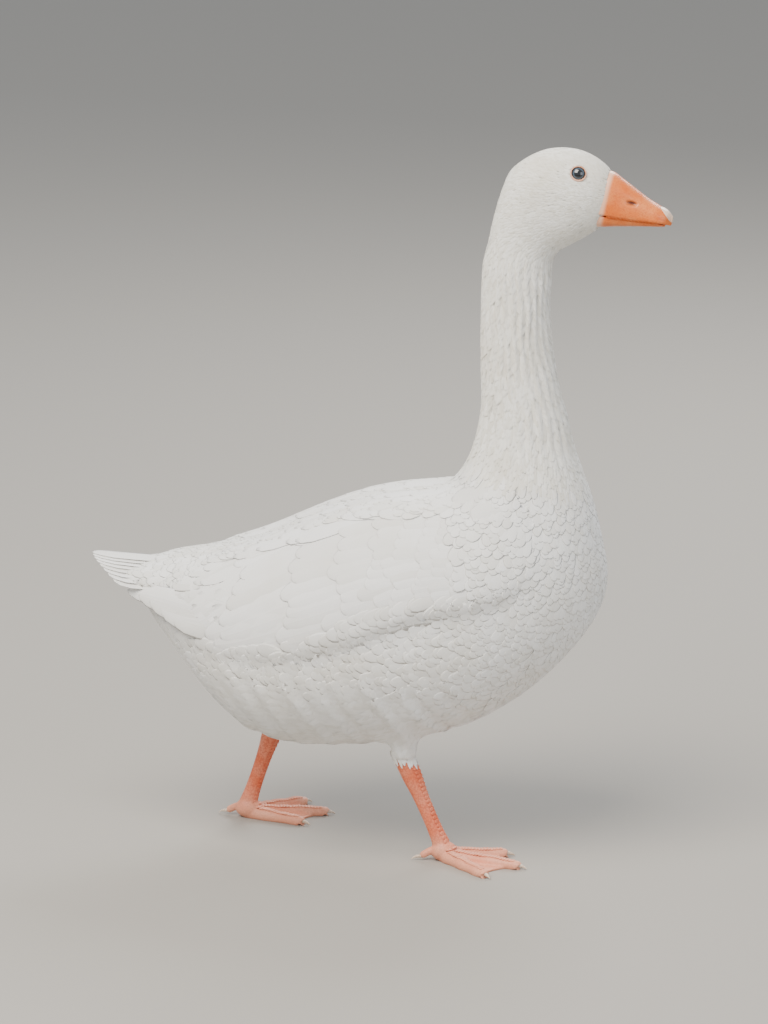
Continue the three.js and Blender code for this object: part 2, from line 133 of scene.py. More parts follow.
def feather_material(name, light, shade, stain, stain_share, barb_rows, relief):
    """Feather keratin: a matt white vane with a shaft and slanting barbs.

    barb_rows is how many barbs show along one vane, drawn coarser than the real 0.4 mm.
    stain tints the plumage in soft clouds a few centimetres across.
    """
    material, tree, shader = new_material(
        name, Roughness=0.72, Sheen_Weight=0.18, Sheen_Roughness=0.5, Specular_IOR_Level=0.25
    )
    tint = add_node(tree, "ShaderNodeAttribute", attribute_name="tint").outputs["Fac"]
    place = add_node(tree, "ShaderNodeTexCoord").outputs["Object"]
    clouds = add_node(tree, "ShaderNodeTexNoise", {"Vector": place, "Scale": CLOUDS_PER_METRE, "Detail": 3})
    patch = add_node(
        tree,
        "ShaderNodeMapRange",
        {"Value": clouds.outputs["Fac"], "From Min": 0.45, "From Max": 0.75, "To Max": stain_share},
    )
    vane = add_node(tree, "ShaderNodeUVMap", uv_map="Vane").outputs["UV"]
    axes = add_node(tree, "ShaderNodeSeparateXYZ", {"Vector": vane})

    found = {"u": axes.outputs["X"], "v": axes.outputs["Y"]}
    for result, operation, *values in (
        ("centred", "SUBTRACT", "u", 0.5),
        ("off_shaft", "ABSOLUTE", "centred"),
        ("slant", "MULTIPLY_ADD", "off_shaft", -0.35, "v"),
        ("turns", "MULTIPLY", "slant", barb_rows * 2 * math.pi),
        ("barbs", "SINE", "turns"),
        ("steep", "MULTIPLY", "off_shaft", 22),
        ("flank", "SMOOTH_MIN", "steep", 1, 0.3),
        ("shaft", "SUBTRACT", 1, "flank"),
        ("height", "MULTIPLY_ADD", "barbs", 0.35, "shaft"),
    ):
        inputs = {i: found.get(value, value) for i, value in enumerate(values)}
        found[result] = add_node(tree, "ShaderNodeMath", inputs, operation=operation).outputs[0]
    painting = painted(tree, colour(light), [(tint, shade), (patch.outputs["Result"], stain)])
    bump = add_node(
        tree, "ShaderNodeBump", {"Height": found["height"], "Strength": relief, "Distance": BARB_RELIEF * MM}
    )
    tree.links.new(painting, shader.inputs["Base Color"])
    tree.links.new(bump.outputs["Normal"], shader.inputs["Normal"])
    return material


# Small body feathers: soft, matt and faintly warm.
BODY_FEATHER = feather_material(
    "feather_keratin_body", "#F1F0EC", "#E4E2DB", "#DCD6C8", 0.5, barb_rows=26, relief=0.12
)
# Neck feathers: narrow and creamier, in furrowed rows.
NECK_FEATHER = feather_material(
    "feather_keratin_neck", "#F0EEE6", "#DDD9CC", "#D8D0BD", 0.6, barb_rows=12, relief=0.15
)
# Flight and wing feathers: stiffer, smoother and brighter vanes with a strong shaft.
FLIGHT_FEATHER = feather_material(
    "feather_keratin_flight", "#F3F2EF", "#E8E6E0", "#E0DBCF", 0.35, barb_rows=60, relief=0.3
)


def skin_material(name, base, deep, pale, size_mm, relief_mm, rim="#EBC0A2", dark="#5A2A1C", **finish):
    """Bare bird skin: soft colour clouds and small rounded scales of the given size.

    The attribute "margin" turns it to the rim colour, and "hollow" to the dark one.
    """
    material, tree, shader = new_material(name, **finish)
    place = add_node(tree, "ShaderNodeTexCoord").outputs["Object"]
    clouds = add_node(tree, "ShaderNodeTexNoise", {"Vector": place, "Scale": MOTTLES_PER_METRE, "Detail": 4})
    speck = add_node(tree, "ShaderNodeTexVoronoi", {"Vector": place, "Scale": 1 / (size_mm * MM)})
    deeper = add_node(
        tree, "ShaderNodeMapRange", {"Value": clouds.outputs["Fac"], "From Min": 0.38, "From Max": 0.68}
    )
    groove = add_node(
        tree,
        "ShaderNodeMapRange",
        {"Value": speck.outputs["Distance"], "From Min": 0.35, "From Max": 0.75, "To Max": 0.55},
    )
    margin = add_node(tree, "ShaderNodeAttribute", attribute_name="margin").outputs["Fac"]
    hollow = add_node(tree, "ShaderNodeAttribute", attribute_name="hollow").outputs["Fac"]
    coats = [(deeper.outputs["Result"], pale), (groove.outputs["Result"], deep)]
    painting = painted(tree, colour(base), coats + [(margin, rim), (hollow, dark)])
    bump = add_node(
        tree,
        "ShaderNodeBump",
        {"Height": speck.outputs["Distance"], "Strength": 0.6, "Distance": relief_mm * MM},
        invert=True,
    )
    tree.links.new(painting, shader.inputs["Base Color"])
    tree.links.new(bump.outputs["Normal"], shader.inputs["Normal"])
    return material


# Down under the feathers: the soft white ground that closes every gap between vanes.
DOWN = skin_material("down", "#E2DFD6", "#C9C4B8", "#ECEAE3", 2.0, 0.4, Roughness=0.95)
# Leg and web skin: waxy pink-orange hide with small round scales.
LEG_SKIN = skin_material(
    "leg_hide", "#E2734B", "#C2553A", "#EC9270", 1.6, 0.2, Roughness=0.5, Specular_IOR_Level=0.4
)
# Bill skin: smooth waxy orange over bone.
BILL_SKIN = skin_material(
    "bill_hide", "#E2701F", "#C4531A", "#EA8A45", 0.9, 0.05, Roughness=0.38, Coat_Weight=0.15
)
# Pale horn of the bill's nail.
NAIL_HORN = skin_material(
    "nail_horn", "#E9C9AE", "#D3A788", "#F0DCCB", 1.2, 0.03, Roughness=0.32, Coat_Weight=0.2
)
# Translucent grey-brown horn of the claws.
CLAW_HORN = skin_material(
    "claw_horn", "#D9C2A8", "#A88A70", "#E8D8C6", 1.2, 0.04, Roughness=0.35, Coat_Weight=0.15
)
# Eyelid rim: thin bare skin, orange and faintly moist.
LID_SKIN = skin_material(
    "lid_skin", "#DDA07E", "#BD7F60", "#E9BEA4", 0.7, 0.08, Roughness=0.4, Coat_Weight=0.2
)

# ------------------------------------------------------------------ the goose's own sizes
# These repeat the solids' driving dimensions, in millimetres.
TRUNK_REAR, TRUNK_FRONT = -215, 207
# Rows: latitude in degrees, centre height, half height, half width.
TRUNK_ROWS = [
    (-90, 238, 68, 84),
    (-60, 222, 73, 94),
    (-30, 190, 99, 106),
    (0, 207, 111.5, 111),
    (30, 227, 118, 116),
    (60, 251, 124, 119),
    (90, 254, 128, 120),
]
TRUNK_POWER = 2.25
# Rows: X, height, half width, half height.
RUMP_ROWS = [
    (-150, 234, 52, 26),
    (-180, 234, 50, 24),
    (-205, 238, 43, 14),
    (-228, 242, 32, 7),
    (-244, 247, 16, 2.5),
]
# Rows: height, centre X, half length, half width.
NECK_ROWS = [
    (233, 128, 70, 82),
    (287, 126, 76, 77),
    (322, 126, 68, 64),
    (352, 131.5, 52, 51),
    (377, 132, 43, 42.5),
    (401, 131, 37, 36.5),
    (437, 127, 32.6, 31),
    (473, 124, 30.6, 28.5),
    (507, 124.5, 30, 27),
    (542, 127.5, 31, 26.5),
    (572, 134.5, 32.5, 27),
    (600, 145, 35, 28),
]
HEAD_ORIGIN = np.array([160.0, 0, 593])
HEAD_TIP_DOWN = math.radians(12)
HEAD_BACK, HEAD_FRONT, HEAD_POWER = -49, 56, 2.1
# Rows: latitude, centre h, half height, half width.
HEAD_ROWS = [
    (-90, 0, 33, 31),
    (-60, -1.5, 37, 32),
    (-30, -3.4, 44.5, 30.3),
    (0, -3, 47, 29),
    (30, 2.4, 43.2, 28),
    (45, 6, 39, 26.6),
    (60, 7, 35, 26),
    (90, 7, 34, 26),
]
# Bill rows: s, top h, bottom h, half width.
BILL_UPPER_ROWS = [
    (33, 31, -5.2, 17),
    (43, 32, -4.8, 18),
    (54, 27.5, -4.2, 16.8),
    (67, 21.5, -3.2, 15),
    (80, 15.8, -1.8, 13.4),
    (91, 12, -0.8, 12),
    (98, 9.4, -1, 8.6),
    (102, 6, -1.6, 3.6),
]
BILL_LOWER_ROWS = [
    (35, -5.4, -19.5, 15.5),
    (44, -5.2, -17.2, 15),
    (57, -4.5, -13.6, 13.6),
    (72, -3.4, -9.8, 12),
    (84, -2.3, -7, 10.3),
    (92, -1.9, -5.4, 7.6),
    (97, -2.3, -4.4, 3.2),
]
BILL_POWER = 2.25
UPPER_EDGE, LOWER_EDGE = 0.16, 0.84
EYE_S, EYE_H, EYE_OUT, EYE_RADIUS = 15.5, 26, 16, 8.3

WING_PROUD = 8
WING_MIDLINE = 20
WING_EDGE = (-4, 8)  # the wing's rim rises between these depths inside its outline
WING_SHOULDER = (163, 280)
WING_TIP = (-201, 218)
WING_LOWER = [WING_SHOULDER, (130, 251), (54, 233), (-26, 200), (-100, 187), (-160, 192), WING_TIP]
WING_UPPER = [WING_SHOULDER, (140, 327), (60, 349), (-70, 326), (-150, 256), WING_TIP]
# Rows: X, distance from the middle, height, half height, half thickness.
PRIMARY_ROWS = [
    (-118, 88, 219, 18, 5),
    (-150, 77, 221, 19, 5),
    (-180, 63, 224, 17, 4),
    (-205, 50, 227, 11, 3),
    (-218, 44, 229, 4.5, 1.4),
]
# Rows: X, height, half width, half thickness, droop at the sides.
TAIL_ROWS = [
    (-165, 246, 36, 6, 5),
    (-195, 249, 43, 5, 8),
    (-222, 251, 42, 3.4, 9),
    (-244, 252.5, 31, 2, 6),
    (-257.5, 253.5, 12, 1, 1.5),
]
LEGS = {
    "right": dict(y=-1, knee=(36, 60, 165), hock=(34, 51, 92), toes=(69, 51, 11), heading=12),
    "left": dict(y=1, knee=(-34, 62, 165), hock=(-100, 51, 96), toes=(-128, 50, 12), heading=13),
}
THIGH_RADII = (46, 44, 36, 24, 14, 11)
KNEE_TUCK = 8  # the knee's ball lies this far inside the trunk's coat
SHANK_RADII = (9.2, 8.6, 7, 6.4, 6.6, 8)
SHANK_SIDE = 0.78
# Toes: turn in degrees, length, and how many joints swell along it.
TOES = {"inner": (31, 54, 2), "middle": (-1, 69, 3), "outer": (-34, 62, 4)}
TOE_ROOT, TOE_TIP = 6.2, 3.9
WEB_THICKNESS, WEB_REACH = 2.6, 0.93
CLAW_LENGTH = 11
HIND_RISE, HIND_LENGTH, HIND_RADIUS, HIND_INWARD = 10.5, 20, 3.6, 24

NECK_X, JAW_SLOPE, NECK_SLOPE = 127.5, 0.325, 0.2  # levels across head and neck tip down to the front

X_AXIS, Y_AXIS, Z_AXIS = np.eye(3)
HEAD_FORWARD = np.array([math.cos(HEAD_TIP_DOWN), 0, -math.sin(HEAD_TIP_DOWN)])
HEAD_UP = np.array([math.sin(HEAD_TIP_DOWN), 0, math.cos(HEAD_TIP_DOWN)])


def smoothstep(value, low, high):
    share = np.clip((np.asarray(value, float) - low) / (high - low), 0, 1)
    return share * share * (3 - 2 * share)


def unit(vectors):
    vectors = np.asarray(vectors, float)
    return vectors / np.maximum(np.linalg.norm(vectors, axis=-1, keepdims=True), 1e-9)


def along_surface(ways, normals):
    """Unit directions with the part that leaves the surface taken out."""
    return unit(ways - np.sum(ways * normals, axis=-1, keepdims=True) * normals)


def blended(first, second, share):
    """Rows that turn from first to second by each point's share."""
    return first * (1 - share)[:, None] + second * share[:, None]


def tipped_height(points, slope=JAW_SLOPE):
    """Height of the tipped level through each point, where it crosses the neck's middle."""
    return points[:, 2] + slope * (points[:, 0] - NECK_X)


def through(rows):
    """A smooth function through rows (t, value, ...): at each row, its slope is its neighbours' mean."""
    table = np.array(sorted(rows), float)
    knots, values = table[:, 0], table[:, 1:]
    slopes = np.diff(values, axis=0) / np.diff(knots)[:, None]
    tangents = np.vstack([slopes[:1], (slopes[:-1] + slopes[1:]) / 2, slopes[-1:]])

    def at(t):
        t = np.asarray(t, float)
        i = np.clip(np.searchsorted(knots, t, side="right") - 1, 0, len(knots) - 2)
        gap = (knots[i + 1] - knots[i])[..., None]
        p = (t - knots[i])[..., None] / gap
        from_values = (1 + 2 * p) * (1 - p) ** 2 * values[i] + p * p * (3 - 2 * p) * values[i + 1]
        from_slopes = p * (1 - p) ** 2 * tangents[i] + p * p * (p - 1) * tangents[i + 1]
        return from_values + from_slopes * gap

    return at


def within(value, rows):
    """A value kept inside the range of the rows' first column."""
    firsts = [row[0] for row in rows]
    return np.clip(value, min(firsts), max(firsts))


def along(points):
    """A smooth curve through points, by its share from 0 to 1."""
    return through([(i / (len(points) - 1), *p) for i, p in enumerate(points)])


def section(centre, side, up, across, above, below, points, power=2.0, power_below=None):
    """One closed ring of points. power 2 is an ellipse and more is squarer."""
    angle = np.arange(points) / points * 2 * math.pi
    c, s = np.cos(angle), np.sin(angle)
    power = np.where(s < 0, power_below or power, power)
    u = across * np.sign(c) * np.abs(c) ** (2 / power)
    v = np.where(s > 0, above, below) * np.sign(s) * np.abs(s) ** (2 / power)
    return np.asarray(centre, float) + u[:, None] * side + v[:, None] * up


def loft(rings):
    """Closed shell over rings of equal size: points and faces."""
    rings = np.asarray(rings)
    count, points = rings.shape[:2]
    index = np.arange(count * points).reshape(count, points)
    turned = np.roll(index, -1, axis=1)
    quads = np.stack([index[:-1], turned[:-1], turned[1:], index[1:]], axis=-1).reshape(-1, 4)
    ends = [list(index[0][::-1]), list(index[-1])]
    return rings.reshape(-1, 3), quads.tolist() + ends


def limb(path, radii, points=20, steps=16, up=Z_AXIS):
    """Shell along a smooth path. radii gives half sizes (across, up) at a share of the path."""
    curve = along(path)
    rings = []
    for t in np.linspace(0, 1, steps + 1):
        way = unit(curve(min(t + 1e-3, 1)) - curve(max(t - 1e-3, 0)))
        side = unit(np.cross(up, way))
        across, high = radii(t)
        rings.append(section(curve(t), side, np.cross(way, side), across, high, high, points))
    return loft(rings)


def merged(shells):
    """Several shells as one list of points and faces."""
    points, faces, start = [], [], 0
    for shell_points, shell_faces in shells:
        points.append(shell_points)
        faces += [[i + start for i in face] for face in shell_faces]
        start += len(shell_points)
    return np.vstack(points), faces


# ------------------------------------------------------------------ body lofts
trunk_profile = through(TRUNK_ROWS)
neck_profile = through(NECK_ROWS)
head_profile = through(HEAD_ROWS)
LAST_LATITUDE = 86  # of the trunk's and head's first and last sections


def wing_swell(x, angle):
    """How far the folded wing stands out of the trunk. angle is 0 at the side and 90 on the back."""
    fore = 1 - smoothstep(x, 105, 172)
    aft = 0.45 + 0.55 * smoothstep(x, -190, -60)
    return WING_PROUD * fore * aft * (
        0.3 + 0.7 * smoothstep(angle, -16, 26) - 0.85 * smoothstep(angle, 52, 84)
    )


def rounded_shell(profile, rear, front, place, up, rings, points, power):
    """Closed shell from rear to front, with its sections spaced by latitude as on a globe.

    profile gives the middle's height, half height and half width. place(forward, y, height) is a point.
    """
    made = []
    for latitude in np.linspace(-LAST_LATITUDE, LAST_LATITUDE, rings):
        height, high, wide = profile(latitude)
        share, forward = math.cos(math.radians(latitude)), math.sin(math.radians(latitude))
        middle = place((front + rear) / 2 + (front - rear) / 2 * forward, 0, height)
        made.append(section(middle, Y_AXIS, up, wide * share, high * share, high * share, points, power))
    return loft(made)


def trunk_shell():
    return rounded_shell(
        trunk_profile, TRUNK_REAR, TRUNK_FRONT, lambda *xyz: xyz, Z_AXIS, 56, 96, TRUNK_POWER
    )


def neck_shell():
    made = []
    for z in np.linspace(NECK_ROWS[0][0], NECK_ROWS[-1][0], 60):
        x, long, wide = neck_profile(z)
        made.append(section((x, 0, z), X_AXIS, Y_AXIS, long, wide, wide, 72))
    return loft(made)


def on_head(s, y, h):
    """Drawing place of a point of the head: s along the bill, y across and h up."""
    s, y, h = (np.asarray(v, float)[..., None] for v in (s, y, h))
    return HEAD_ORIGIN + s * HEAD_FORWARD + y * Y_AXIS + h * HEAD_UP


def eye_frame(sign):
    """Middle of an eyeball, and its outward, forward and upward directions."""
    centre = on_head(EYE_S, sign * EYE_OUT, EYE_H)
    outward = unit(np.array([0.16, sign, 0.30]))
    level = unit(HEAD_FORWARD - (HEAD_FORWARD @ outward) * outward)
    return centre, outward, level, np.cross(level, outward) * -sign


LID_OPENING = 5.8  # half length of the eye's opening
LID_ROLL = 0.95  # half thickness of the lid's rim


def lid_middle(sign):
    """Middle of the eye's opening."""
    centre, outward = eye_frame(sign)[:2]
    return centre + outward * math.sqrt(EYE_RADIUS**2 - LID_OPENING**2)


def head_shell():
    return rounded_shell(head_profile, HEAD_BACK, HEAD_FRONT, on_head, HEAD_UP, 48, 72, HEAD_POWER)


def rump_shell():
    profile = through(RUMP_ROWS)
    made = []
    for share in np.linspace(0, 1, 24):
        x = RUMP_ROWS[0][0] + (RUMP_ROWS[-1][0] - RUMP_ROWS[0][0]) * math.sin(share * math.pi / 2)
        z, wide, high = profile(x)
        made.append(section((x, 0, z), -Y_AXIS, Z_AXIS, wide, high, high, 48))
    return loft(made)


def leg_joints(leg, *names):
    """Drawing places of a leg's joints, on its own side of the body."""
    return [np.array(leg[name], float) * [1, leg["y"], 1] for name in names]


def thigh_shell(leg):
    knee, hock = leg_joints(leg, "knee", "hock")
    radii = along([(r,) for r in THIGH_RADII])

    def size(t):
        r = float(radii(t)[0]) - (KNEE_TUCK - KNEE_TUCK * t)
        return r, r

    return limb([knee, (knee + hock) / 2, hock], size, points=40, steps=24, up=X_AXIS)


# ------------------------------------------------------------------ meshes
def make_mesh(name, points, faces):
    mesh = bpy.data.meshes.new(name)
    mesh.from_pydata(((np.asarray(points) + SHIFT) * MM).tolist(), [], faces)
    mesh.update()
    return mesh


def make_object(name, mesh):
    piece = bpy.data.objects.new(name, mesh)
    bpy.context.scene.collection.objects.link(piece)
    return piece


def applied(piece):
    """The mesh of a piece with its modifiers applied. The piece itself is removed."""
    graph = bpy.context.evaluated_depsgraph_get()
    mesh = bpy.data.meshes.new_from_object(piece.evaluated_get(graph), depsgraph=graph)
    bpy.data.objects.remove(piece)
    return mesh


def fused(name, shells, voxel_mm):
    """One clean skin round overlapping shells, in even faces of the given size."""
    piece = make_object(name, make_mesh(name, *merged(shells)))
    remesh = piece.modifiers.new("even", "REMESH")
    remesh.mode = "VOXEL"
    remesh.voxel_size = voxel_mm * MM
    return applied(piece)


def read_values(rows, attribute, width, kind=np.float32):
    """An attribute of a mesh's rows, with width numbers to a row."""
    flat = np.empty(len(rows) * width, kind)
    rows.foreach_get(attribute, flat)
    return flat.reshape(-1, width)


def read_points(mesh):
    """Vertex places in drawing millimetres."""
    return read_values(mesh.vertices, "co", 3).astype(float) / MM - SHIFT


def write_points(mesh, points):
    mesh.vertices.foreach_set("co", (((points + SHIFT) * MM).astype(np.float32)).ravel())
    mesh.update()


def read_edges(mesh):
    return read_values(mesh.edges, "vertices", 2, np.int32)


def read_faces(mesh):
    mesh.calc_loop_triangles()
    return read_values(mesh.loop_triangles, "vertices", 3, np.int32)


def keep_shade(mesh, name, values):
    """Keeps one number for each vertex, for the mesh's material to read."""
    attribute = mesh.attributes.new(name, "FLOAT", "POINT")
    attribute.data.foreach_set("value", np.asarray(values, np.float32))


def relaxed(points, edges, weight, rounds):
    """Points eased towards their neighbours' mean, by weight, so that junctions turn into fillets."""
    a, b = edges.T
    degree = np.maximum(np.bincount(np.r_[a, b], minlength=len(points)), 1)
    weight = np.broadcast_to(weight, len(points))[:, None] * 0.5
    for _ in range(rounds):
        sums = [
            np.bincount(a, column[b], len(points)) + np.bincount(b, column[a], len(points))
            for column in points.T
        ]
        mean = np.stack(sums, axis=1)
        points = points + weight * (mean / degree[:, None] - points)
    return points


def body_weight(points):
    """Where the joints of neck, trunk and head are eased: 0 nowhere, 1 fully."""
    x, z = points[:, 0], points[:, 2]
    base = smoothstep(z, 262, 300) * (1 - smoothstep(z, 372, 400)) * smoothstep(x, 20, 50)
    jaw_line = tipped_height(points)
    jaw = smoothstep(jaw_line, 522, 545) * (1 - smoothstep(jaw_line, 590, 615))
    jaw = jaw * (1 - smoothstep(x, 186, 196))
    groin = (1 - smoothstep(z, 150, 190)) * smoothstep(z, 96, 112)
    thigh = np.zeros(len(points))
    for leg in LEGS.values():
        knee, hock = leg_joints(leg, "knee", "hock")
        middle = knee + 0.6 * (hock - knee)
        thigh = np.maximum(thigh, 1 - smoothstep(np.linalg.norm(points - middle, axis=1), 32, 62))
    return np.maximum(np.maximum(base, 0.7 * jaw), 0.9 * groin * thigh)


wing_lower_edge, wing_upper_edge = through(WING_LOWER), through(WING_UPPER)


def wing_edges(x):
    """Heights of the wing's lower and upper edges on the side view."""
    return wing_lower_edge(x)[..., 0], wing_upper_edge(x)[..., 0]


def wing_depth_inside(points):
    """How far a point lies inside the wing's outline on the side view, in millimetres."""
    x, z = points[:, 0], points[:, 2]
    low, high = wing_edges(within(x, WING_LOWER))
    ends = np.minimum(x - WING_TIP[0], WING_SHOULDER[0] - x)
    inside = np.minimum(np.minimum(z - low, high - z), ends)
    return np.minimum(inside, (np.abs(points[:, 1]) - WING_MIDLINE) * 0.9)


FURROWS, FURROW_DEPTH = 26, 2.6  # round the whole neck
FOLD_SPACING, FOLD_DEPTH = 25, 1.5  # soft upright folds of the paunch


def furrow_place(points):
    """Angle round the neck from its front, phase across the ridges (0 on a crest), and strength."""
    x, y, z = points.T
    centre = neck_profile(within(z, NECK_ROWS))[:, 0]
    turn = np.arctan2(np.abs(y), x - centre)
    fade = smoothstep(z, 335, 400) * (1 - smoothstep(tipped_height(points), 515, 556))
    waver = 1.1 * np.sin(z * 0.061 + 2.2 * turn) + 0.6 * np.sin(z * 0.137 - 3.1 * turn)
    fade = fade * (0.72 + 0.28 * np.sin(z * 0.083 + 5 * turn))
    return turn, turn * FURROWS - z * 0.055 + waver, fade


def coat_relief(points):
    """Height of the coat's own modelling: the furrows down the neck and the soft folds of the paunch."""
    _, phase, fade = furrow_place(points)
    furrows = fade * (np.abs(np.cos(phase / 2)) ** 0.8 - 0.5) * FURROW_DEPTH
    x, y, z = points.T
    hang = smoothstep(z, 88, 112) * (1 - smoothstep(z, 150, 200))
    hang = hang * smoothstep(x, -150, -90) * (1 - smoothstep(x, 70, 115)) * smoothstep(np.abs(y), 8, 30)
    swing = (x + 0.35 * (z - 120)) / FOLD_SPACING * 2 * math.pi + 1.3 * np.sin(z * 0.05 + np.sign(y))
    folds = hang * (0.7 * np.sin(swing) + 0.3 * np.sin(1.7 * swing + 1.1)) * FOLD_DEPTH
    return furrows + folds


FLESH_GAP = 3.0  # face size of the large skin, in millimetres
flesh_shells = [trunk_shell(), rump_shell(), neck_shell(), head_shell()]
flesh_shells += [thigh_shell(leg) for leg in LEGS.values()]
hull_mesh = fused("hull", flesh_shells, FLESH_GAP)
hull_points = read_points(hull_mesh)
hull_edges = read_edges(hull_mesh)
hull_points = relaxed(hull_points, hull_edges, body_weight(hull_points), 70)
hull_points = relaxed(hull_points, hull_edges, 0.6, 3)


def wing_lift(points):
    """Pushes the trunk's surface out to the folded wings, easing over their edges."""
    middle, reach = (TRUNK_FRONT + TRUNK_REAR) / 2, (TRUNK_FRONT - TRUNK_REAR) / 2
    latitude = np.arcsin(np.clip((points[:, 0] - middle) / reach, -1, 1))
    height = trunk_profile(np.degrees(latitude))[:, 0]
    away = np.stack([0 * height, points[:, 1], points[:, 2] - height], axis=1)
    angle = np.degrees(np.arctan2(away[:, 2], np.abs(away[:, 1])))
    swell = wing_swell(points[:, 0], angle) * smoothstep(wing_depth_inside(points), *WING_EDGE)
    return unit(away) * swell[:, None]


hull_points = relaxed(hull_points + wing_lift(hull_points), hull_edges, 0.8, 6)
hull_faces = read_faces(hull_mesh)
hull_tree = BVHTree.FromPolygons(hull_points.tolist(), hull_faces.tolist())
write_points(hull_mesh, hull_points)

# ------------------------------------------------------------------ the lie of the coat
BILL_ROOT = on_head(44, 0, 10)  # head feathers point away from here
NECK_ROOT = np.array([132.0, 0, 350])
TAIL_ROOT = np.array([-300.0, 0, 244])


def head_place(points):
    """Head coordinates s, y, h of drawing points."""
    away = points - HEAD_ORIGIN
    return away @ HEAD_FORWARD, away[:, 1], away @ HEAD_UP


def head_share(points):
    return smoothstep(tipped_height(points), 528, 566)


def neck_share(points):
    return smoothstep(tipped_height(points, NECK_SLOPE), 318, 385)


def thigh_share(points):
    """1 on the thighs below the belly, 0 elsewhere."""
    share = np.zeros(len(points))
    for leg in LEGS.values():
        knee, hock = leg_joints(leg, "knee", "hock")
        t = np.clip((points - knee) @ (hock - knee) / np.sum((hock - knee) ** 2), 0, 1)
        off = np.linalg.norm(points - (knee + t[:, None] * (hock - knee)), axis=1)
        reach = along([(r,) for r in THIGH_RADII])(t)[:, 0]
        share = np.maximum(share, (1 - smoothstep(off - reach, 0, 16)) * smoothstep(t, 0.2, 0.8))
    return share


def lie(points, normals):
    """Unit direction in which feathers point, lying on the surface."""
    from_neck = points - NECK_ROOT
    near = 1 - smoothstep(np.linalg.norm(from_neck, axis=1), 60, 250)
    body = blended(unit(TAIL_ROOT - points), unit(from_neck), near)
    body = body + [0, 0, -0.12]
    turn, phase, fade = furrow_place(points)
    around = np.stack([-np.sin(turn), np.sign(points[:, 1]) * np.cos(turn), 0 * turn], axis=1)
    neck = [-0.06, 0, -1.0] - (0.34 * fade * np.sin(phase))[:, None] * around
    head = unit(points - BILL_ROOT) + head_share(points)[:, None] * [-0.1, 0, -0.15]
    thigh = np.broadcast_to([-0.45, 0, -0.9], points.shape)
    for share, way in ((neck_share, neck), (head_share, head), (thigh_share, thigh)):
        body = blended(body, way, share(points))
    return along_surface(body, normals)


def nearest(tree, points):
    """Nearest surface place and normal for each point."""
    found = [tree.find_nearest(Vector(p)) for p in points]
    places = np.array([f[0] for f in found])
    normals = np.array([f[1] for f in found])
    return places, normals


def laid(tree, roots, lengths, stations, way=lie, sway=None):
    """Follows the lie of the coat from each root: centre lines and normals, [feather, station]."""
    places, normals = nearest(tree, roots)
    path, facing = [places], [normals]
    for step in np.diff(stations):
        heading = way(path[-1], facing[-1])
        if sway is not None:
            heading = unit(heading + np.cross(facing[-1], heading) * sway[:, None])
        target = path[-1] + heading * (lengths * step)[:, None]
        places, normals = nearest(tree, target)
        path.append(places)
        facing.append(normals)
    return np.stack(path, axis=1), np.stack(facing, axis=1)


# ------------------------------------------------------------------ feathers
# Outlines: share of the length, and share of the full width there.
SOFT_TIP = np.array([(0, 0.3), (0.22, 0.74), (0.44, 0.96), (0.64, 1), (0.82, 0.86), (0.94, 0.54), (1, 0.1)])
POINTED_TIP = np.array([(0, 0.5), (0.3, 0.95), (0.6, 1), (0.82, 0.7), (0.95, 0.32), (1, 0.06)])
PLUME_TIP = np.array([(0, 0.45), (0.25, 0.88), (0.48, 1), (0.68, 0.9), (0.84, 0.62), (0.95, 0.3), (1, 0.06)])
SMALL_TIP = np.array([(0, 0.5), (0.4, 1), (0.78, 0.8), (1, 0.12)])
LONG_TIP = [(0, 0.3), (0.1, 0.7), (0.25, 0.95), (0.45, 1), (0.65, 1), (0.82, 0.9)]
LONG_TIP = np.array(LONG_TIP + [(0.92, 0.68), (0.98, 0.36), (1, 0.08)])


def unwrap_around(points, centre, axis, start):
    """Places on a map of angle round an axis and distance along it, inside the unit square."""
    away = points - centre
    forward = away @ axis
    across = np.cross(axis, start)
    angle = np.arctan2(away @ across, away @ start) / (2 * math.pi) + 0.5
    span = forward.max() - forward.min() + 1e-6
    return 0.02 + 0.96 * np.stack([angle, (forward - forward.min()) / span], axis=1)


TRUNK_UNWRAP = (np.array([0.0, 0, 215]), X_AXIS, Z_AXIS)
UNWRAPS = {
    "head": (on_head(0, 0, 0), HEAD_FORWARD, -HEAD_UP), "neck": (np.array([128.0, 0, 400]), Z_AXIS, -X_AXIS)
}
VANE_ON_MAP = 0.003  # size of one feather on its coat's map


